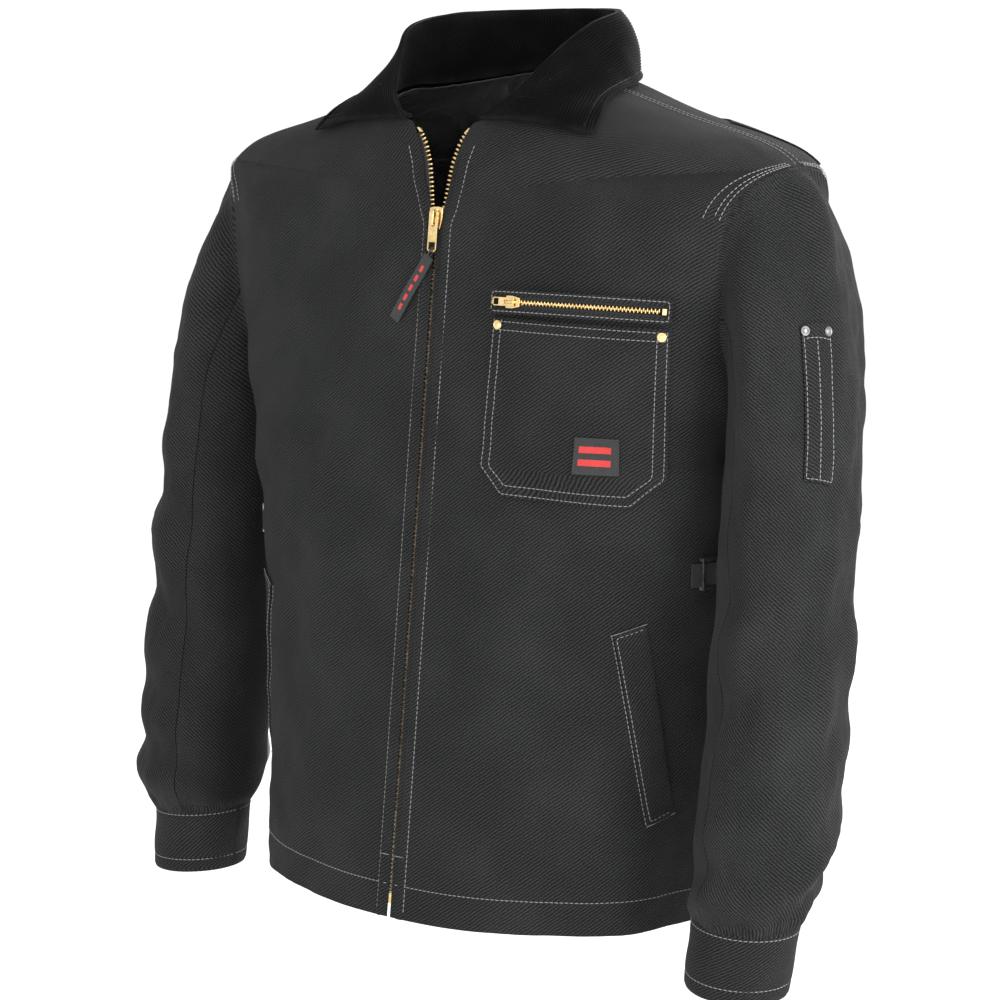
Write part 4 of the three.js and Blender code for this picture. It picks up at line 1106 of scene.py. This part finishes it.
leaf = collar_piece("collar_outer", leaf_point, 121, np.linspace(0, 1, 230), 0.0, 2.1, True)
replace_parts(leaf, "collar_leaf")
stand = collar_piece("collar_inner", stand_point, 1200, np.linspace(-0.08, 1.0, 13), -1.6, 0.3, False)
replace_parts(stand, "collar_stand")
collar_thread = Threads("collar_stitching", THREAD_DARK, 0.35)
u = np.linspace(-0.985, 0.985, 500)
points = leaf_point(u, 0 * u + 0.9)
out = points * np.array([1, 1, 0]) - np.array([0, 5, 0])
out = out / np.linalg.norm(out, axis=1, keepdims=True) * 0.75 + np.array([0, 0, 0.66])
collar_thread.line(points + out * 1.6, out, dash=2.4, pitch=3.4)
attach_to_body(collar_thread.make("corduroy"), "shell")

# ---- Sleeves ----
# Each station: x and drop of the outer line, x and drop of the inner line, middle y, depth.
STATIONS = np.array([
    (273, 0, 243, .385, 8, 66), (300, .04, 240, .405, 2, 74), (323, .15, 238, .432, -6, 75),
    (335, .304, 236, .467, -16, 71), (338, .51, 236, .578, -32, 68), (340, .75, 236, .766, -46, 66),
    (336, .9, 237, .91, -60, 64), (332, .962, 237, .97, -68, 57), (324, .996, 240, .999, -74, 42)], float)
SLEEVE_TOP, SLEEVE_FALL = -62.0, -565.0
STATIONS[:, (1, 3)] = SLEEVE_TOP + SLEEVE_FALL * STATIONS[:, (1, 3)]
LAST = len(STATIONS) - 1
SLEEVE_RADIUS = 66   # turns an angle round the sleeve into a distance along its cloth
CUFF_X = 282
CUFF_TOP = SLEEVE_TOP + SLEEVE_FALL


def sleeve_form(turn, place):
    out_x, out_z, in_x, in_z, y, depth = np.moveaxis(along(STATIONS, place), -1, 0)
    zero = np.zeros_like(out_x)
    out, inn = np.stack([out_x, y, out_z], axis=-1), np.stack([in_x, y, in_z], axis=-1)
    tube = (out + inn) / 2 + (out - inn) * np.cos(turn)[..., None] / 2 + np.stack(
        [zero, -depth * np.sin(turn), zero], axis=-1)
    row = ARMHOLE_MID + ARMHOLE_HALF * np.cos(turn)
    seam = body_point(math.pi / 2 - ARMHOLE_ANGLE * np.sin(turn), row) + np.array([3.3, 0, 0])
    blend = smoothstep(place, 0, 1.6)[..., None]
    return seam + (tube - seam) * blend


def sleeve_folds(turn, place, p):
    """Elbow creases, the bunching above the cuff and the small pleats set into it."""
    around = turn * SLEEVE_RADIUS
    z = p[..., 2]
    start = smoothstep(place, 0.15, 0.9)
    front_half = 0.5 + 0.5 * np.sin(turn)
    elbow = 5.0 * bell(place, 4.4, 0.9) * np.sin((around * 0.55 + z) / 15.0) * (0.35 + 0.65 * front_half)
    bunch = 6.0 * bell(place, 6.35, 0.75) * np.sin((z + 0.35 * around + 6 * np.sin(turn * 2)) / 10.5)
    flat_side = -15.0 * bell(place, 2.2, 1.7) * np.clip(np.cos(turn), 0, None) ** 1.5
    drape = 3.6 * ripples(around, z, 95, 51, 2.6)
    tuck = 3.0 * smoothstep(place, 7.0, 7.9) * np.maximum(np.cos(7 * turn + 0.6), -0.35)
    crumple = 1.3 * ripples(around, z, 40, 52, 1.3) + 0.45 * ripples(around, z, 17, 53)
    head = 2.6 * bell(place, 1.1, 0.7) * np.sin(5.5 * turn + 0.8) - 3.0 * bell(place, 0.45, 0.25)
    quiet = 1 - 0.92 * bell(place, 2.95, 0.75) * bell(turn, rad(28), rad(26))
    inner = bell(np.cos(turn), -1, 0.5)
    under_arm = 1 - 0.85 * inner
    flat_side = flat_side - 5.0 * inner * smoothstep(place, 2.5, 4.0) * (1 - smoothstep(place, 6.8, 7.6))
    return (elbow + bunch + drape + tuck + crumple + head) * start * quiet * under_arm + flat_side * start


def sleeve(turn, place, offset=0.0):
    turn, place = np.broadcast_arrays(np.asarray(turn, float), np.asarray(place, float))
    p = sleeve_form(turn, place)
    lift = sleeve_folds(turn, place, p) + offset
    p = p + normal_of(sleeve_form, turn, place) * lift[..., None]
    tucked = 1 - smoothstep(place, 0.0, 0.3)
    row = ARMHOLE_MID + (ARMHOLE_HALF + 0.13) * np.cos(turn)
    under = body(math.pi / 2 - (ARMHOLE_ANGLE + rad(2.2)) * np.sin(turn), row, offset - 2.6)
    p = p + (under - p) * tucked[..., None]
    end_half = 37.4 + offset
    end = np.stack([CUFF_X + end_half * np.cos(turn), -75.5 - end_half * np.sin(turn),
                    CUFF_TOP - 11 - 0.06 * end_half * np.cos(turn)], axis=-1)
    return p + (end - p) * smoothstep(place, 7.72, 8.0)[..., None]


def sleeve_cut(turn, place):
    """Where a point of the sleeve lies on its flat piece: around it, and down it."""
    return 70 * turn, -sleeve_form(turn, place)[..., 2]


def tube_object(name, outer, inner, material, sign=1):
    """A closed sheet that goes all the way round, between two grids whose columns close on themselves."""
    rows, columns = outer.shape[:2]
    count = rows * columns
    faces = []
    for j in range(rows - 1):
        for i in range(columns):
            a, b = j * columns + i, j * columns + (i + 1) % columns
            faces += [[a, b, b + columns, a + columns],
                      [count + a, count + a + columns, count + b + columns, count + b]]
    for i in range(columns):
        k = (i + 1) % columns
        last = (rows - 1) * columns
        faces += [[i, count + i, count + k, k], [last + i, last + k, count + last + k, count + last + i]]
    uvs = np.stack([sign * arc_lengths(outer, 1), arc_lengths(outer, 0)], axis=-1).reshape(-1, 2)
    vertices = np.concatenate([outer.reshape(-1, 3), inner.reshape(-1, 3)])
    return make_object(name, vertices, faces, material, np.concatenate([uvs, uvs]))


def follow_sleeve(piece, name, side, slot, *nodes):
    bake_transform(piece)
    if nodes:
        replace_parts(piece, *nodes)
    return piece


places = np.concatenate([np.linspace(0, 1.6, 22), np.linspace(1.6, 6, 86)[1:], np.linspace(6, LAST, 50)[1:]])
SPLIT = rad(108)
SEAM = 0.007
sleeves = {}
for name, side in LEFT_RIGHT:
    mirror = np.array([side, 1, 1])
    on_sleeve = lambda turn, place, lift, m=mirror: sleeve(turn, place, lift) * m
    turn, place = np.meshgrid(np.linspace(-SPLIT + SEAM, SPLIT - SEAM, 76), places)
    edge = (SPLIT - np.abs(turn)) * SLEEVE_RADIUS
    lap = -0.45 * bell(edge, 2.2, 0.8)
    top = sheet_object(f"{name}_sleeve_outer", on_sleeve(turn, place, CLOTH + lap),
                       on_sleeve(turn, place, 0), DUCK, -side, True, cut=sleeve_cut(turn, place))
    follow_sleeve(top, name, side, "cotton_duck", f"{name}_sleeve_top")
    turn, place = np.meshgrid(np.linspace(SPLIT + SEAM, 2 * math.pi - SPLIT - SEAM, 50), places)
    under = sheet_object(f"{name}_sleeve_inner", on_sleeve(turn, place, CLOTH),
                         on_sleeve(turn, place, 0), DUCK, -side, True, cut=sleeve_cut(turn, place))
    follow_sleeve(under, name, side, "cotton_duck", f"{name}_sleeve_under")
    turn, place = np.meshgrid(np.linspace(-math.pi, math.pi, 97)[:-1], np.linspace(0.5, 7.4, 130))
    pucker = 0.3 * ripples(turn * SLEEVE_RADIUS, place * 80, 22, 61, 3)
    lining = tube_object(f"{name}_sleeve_lining_cloth", on_sleeve(turn, place, -0.95 + pucker - 0.8),
                         on_sleeve(turn, place, -1.85 + pucker - 0.8), SATIN)
    follow_sleeve(lining, name, side, "lining_satin", f"{name}_sleeve_lining")

    def on_cuff(turn, v, lift, m=mirror):
        half = 42 - 2 * v + lift
        x = CUFF_X - 3 * v + half * np.cos(turn)
        y = -74 - 9 * v - half * np.sin(turn)
        return np.stack([x, y, CUFF_TOP - 3 - 54 * v - 0.06 * half * np.cos(turn)], axis=-1) * m

    turn, v = np.meshgrid(np.linspace(-math.pi, math.pi, 129)[:-1], np.linspace(0, 1, 46))
    wrinkle = 0.8 * ripples(turn * 42, v * 54, 30, 71, 1.6) * np.sin(math.pi * np.clip(v, 0.1, 0.9))
    roll = -1.1 * bell(v, 0, 0.03) - 1.1 * bell(v, 1, 0.03)
    roll = roll - 0.45 * bell(v, 0.085, 0.02) - 0.45 * bell(v, 0.8, 0.018)
    cuff = tube_object(f"{name}_cuff_cloth", on_cuff(turn, v, wrinkle + roll + 0.3),
                       on_cuff(turn, v, wrinkle - 2.4), DUCK, side)
    follow_sleeve(cuff, name, side, "cotton_duck", f"{name}_cuff")

    work = Threads(f"{name}_sleeve_stitching")
    down = np.linspace(0.3, 7.95, 700)
    for out in (3.0, 9.5):
        work.on(on_sleeve, -SPLIT + out / SLEEVE_RADIUS, down, CLOTH + 0.1)
    ring = np.linspace(-SPLIT, SPLIT, 400)
    work.on(on_sleeve, ring, 0.12, CLOTH + 0.15)
    full = np.linspace(-math.pi, math.pi, 300)
    for v_line in (0.085, 0.8):
        work.on(on_cuff, full, v_line, 0.1)
    sleeves[name] = (top, under, lining, cuff)
    if side > 0:
        def on_pen(u, v, lift):
            return sleeve(rad(14) + rad(28) * u, 2.35 + 1.2 * v - 0.24 * u * (1 - 0.5 * v), lift)

        u, v = np.meshgrid(np.linspace(0, 1, 26), np.linspace(0, 1, 90))
        crown = 0.5 * smoothstep(np.minimum(u, 1 - u), 0.02, 0.14) + 0.45 * bell(v, 0.03, 0.05)
        crown = crown + 0.2 * ripples(u * 36, v * 110, 30, 81)
        pen = sheet_object("sleeve_pocket_cloth", on_pen(u, v, PATCH + 0.6 + crown),
                           on_pen(u, v, PATCH - 0.7), DUCK, -1)
        follow_sleeve(pen, name, side, "cotton_duck", "sleeve_pocket")
        for path in ([(0.06, 0), (0.06, 0.985), (0.94, 0.985), (0.94, 0)], [(0.5, 0.12), (0.5, 0.985)],
                     [(0.04, 0.11), (0.96, 0.11)]):
            u, v = polyline(path, 0.01)
            work.on(on_pen, u, v, PATCH + 1.25)
        for node, share in (("sleeve_rivet_back", 0.12), ("sleeve_rivet_front", 0.88)):
            low, high = (on_pen(np.array([share]), np.array([0.05]), PATCH + lift)[0] for lift in (1.3, 2.3))
            head = rivet(node, low, high - low, None, DARK_METAL)
            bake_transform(head)
    follow_sleeve(work.make("cotton_duck"), name, side, "cotton_duck")

# ---- Side adjusters ----
STRAP_TURNS = (74, 118)
STRAP_ROW = 2.42
for name, side in LEFT_RIGHT:
    angle, rise = np.meshgrid(np.radians(np.linspace(*STRAP_TURNS, 60)), np.linspace(-9, 9, 9))
    lift = 0.25 * (1 - (rise / 9) ** 8)
    up = np.stack([0 * rise, 0 * rise, rise], axis=-1)
    outer = body(side * angle, STRAP_ROW, CLOTH + 4.2 + lift) + up
    inner = body(side * angle, STRAP_ROW, CLOTH + 3.3) + up
    strap = sheet_object(f"{name}_strap", outer, inner, WEBBING, side)
    attach(strap, "webbing", "shell", f"{name}_adjuster_strap")

# ---- Zip tag: the ribbon hangs from the pull on a cord loop ----
TAG_ORIGIN = np.array([0, -101.881, -130.272])
TAG_TURN = rad(31)
ACROSS = np.array([1.0, 0, 0])
TAG_X = math.cos(TAG_TURN) * ACROSS - math.sin(TAG_TURN) * ZIP_UP
TAG_Y = math.sin(TAG_TURN) * ACROSS + math.cos(TAG_TURN) * ZIP_UP
TAG_Z = ZIP_OUT


def on_tag(x, y, z):
    return TAG_ORIGIN + x[..., None] * TAG_X + y[..., None] * TAG_Y + z[..., None] * TAG_Z


x, y = np.meshgrid(np.linspace(-5, 5, 11), np.linspace(-5.2, -65.2, 61))
wave = 0.35 * np.sin(y / 9) + 0.15 * np.cos(x / 2)
ribbon = sheet_object("pull_ribbon", on_tag(x, y, 0.55 + wave), on_tag(x, y, -0.35 + wave), RIBBON)
attach(ribbon, "ribbon", "front_tag", "front_pull_tag")
turn, spin = np.meshgrid(np.linspace(0, 2 * math.pi, 41)[:-1], np.linspace(0, 2 * math.pi, 9)[:-1])
loop_y = -1.5 + 4.3 * np.cos(turn)
loop_z = 2.4 * np.sin(turn)
swell = 0.42
vertices = on_tag(0.9 * np.sin(spin), loop_y + swell * np.cos(spin) * np.cos(turn),
                  loop_z + swell * np.cos(spin) * np.sin(turn)).reshape(-1, 3)
faces = [[j * 40 + i, j * 40 + (i + 1) % 40, (j + 1) % 8 * 40 + (i + 1) % 40, (j + 1) % 8 * 40 + i]
         for j in range(8) for i in range(40)]
tag_loop = make_object("pull_ribbon_loop", vertices, faces, RIBBON)
attach(tag_loop, "ribbon", "front_tag")

# ---- The pieces of each side, looked up by name ----
for name, (top, under, lining, cuff) in sleeves.items():
    panel, front_lining, facing = (
        bpy.data.objects[f"{name}_{part}"] for part in ("front", "front_lining_cloth", "facing"))

# ---- Stage ----
bpy.ops.mesh.primitive_plane_add(size=40, location=(0, 0, FLOOR_HEIGHT))
floor = bpy.context.object
floor.name = "floor"
floor.data.materials.append(floor_material())
floor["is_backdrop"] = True
world = bpy.data.worlds.new("studio")
bpy.context.scene.world = world
world.use_nodes = True
world.node_tree.nodes["Background"].inputs[0].default_value = (1.0, 1.0, 1.0, 1)
world.node_tree.nodes["Background"].inputs[1].default_value = WORLD_LIGHT
bpy.context.scene.view_settings.view_transform = "Standard"
area_light("key", 80, 0.8, 2.6, 1.3, 60)
area_light("fill", 10, 0.5, 3.0, 2.0, 22)
area_light("rim", 190, 1.0, 2.4, 1.4, 24)
make_camera()

low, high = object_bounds()
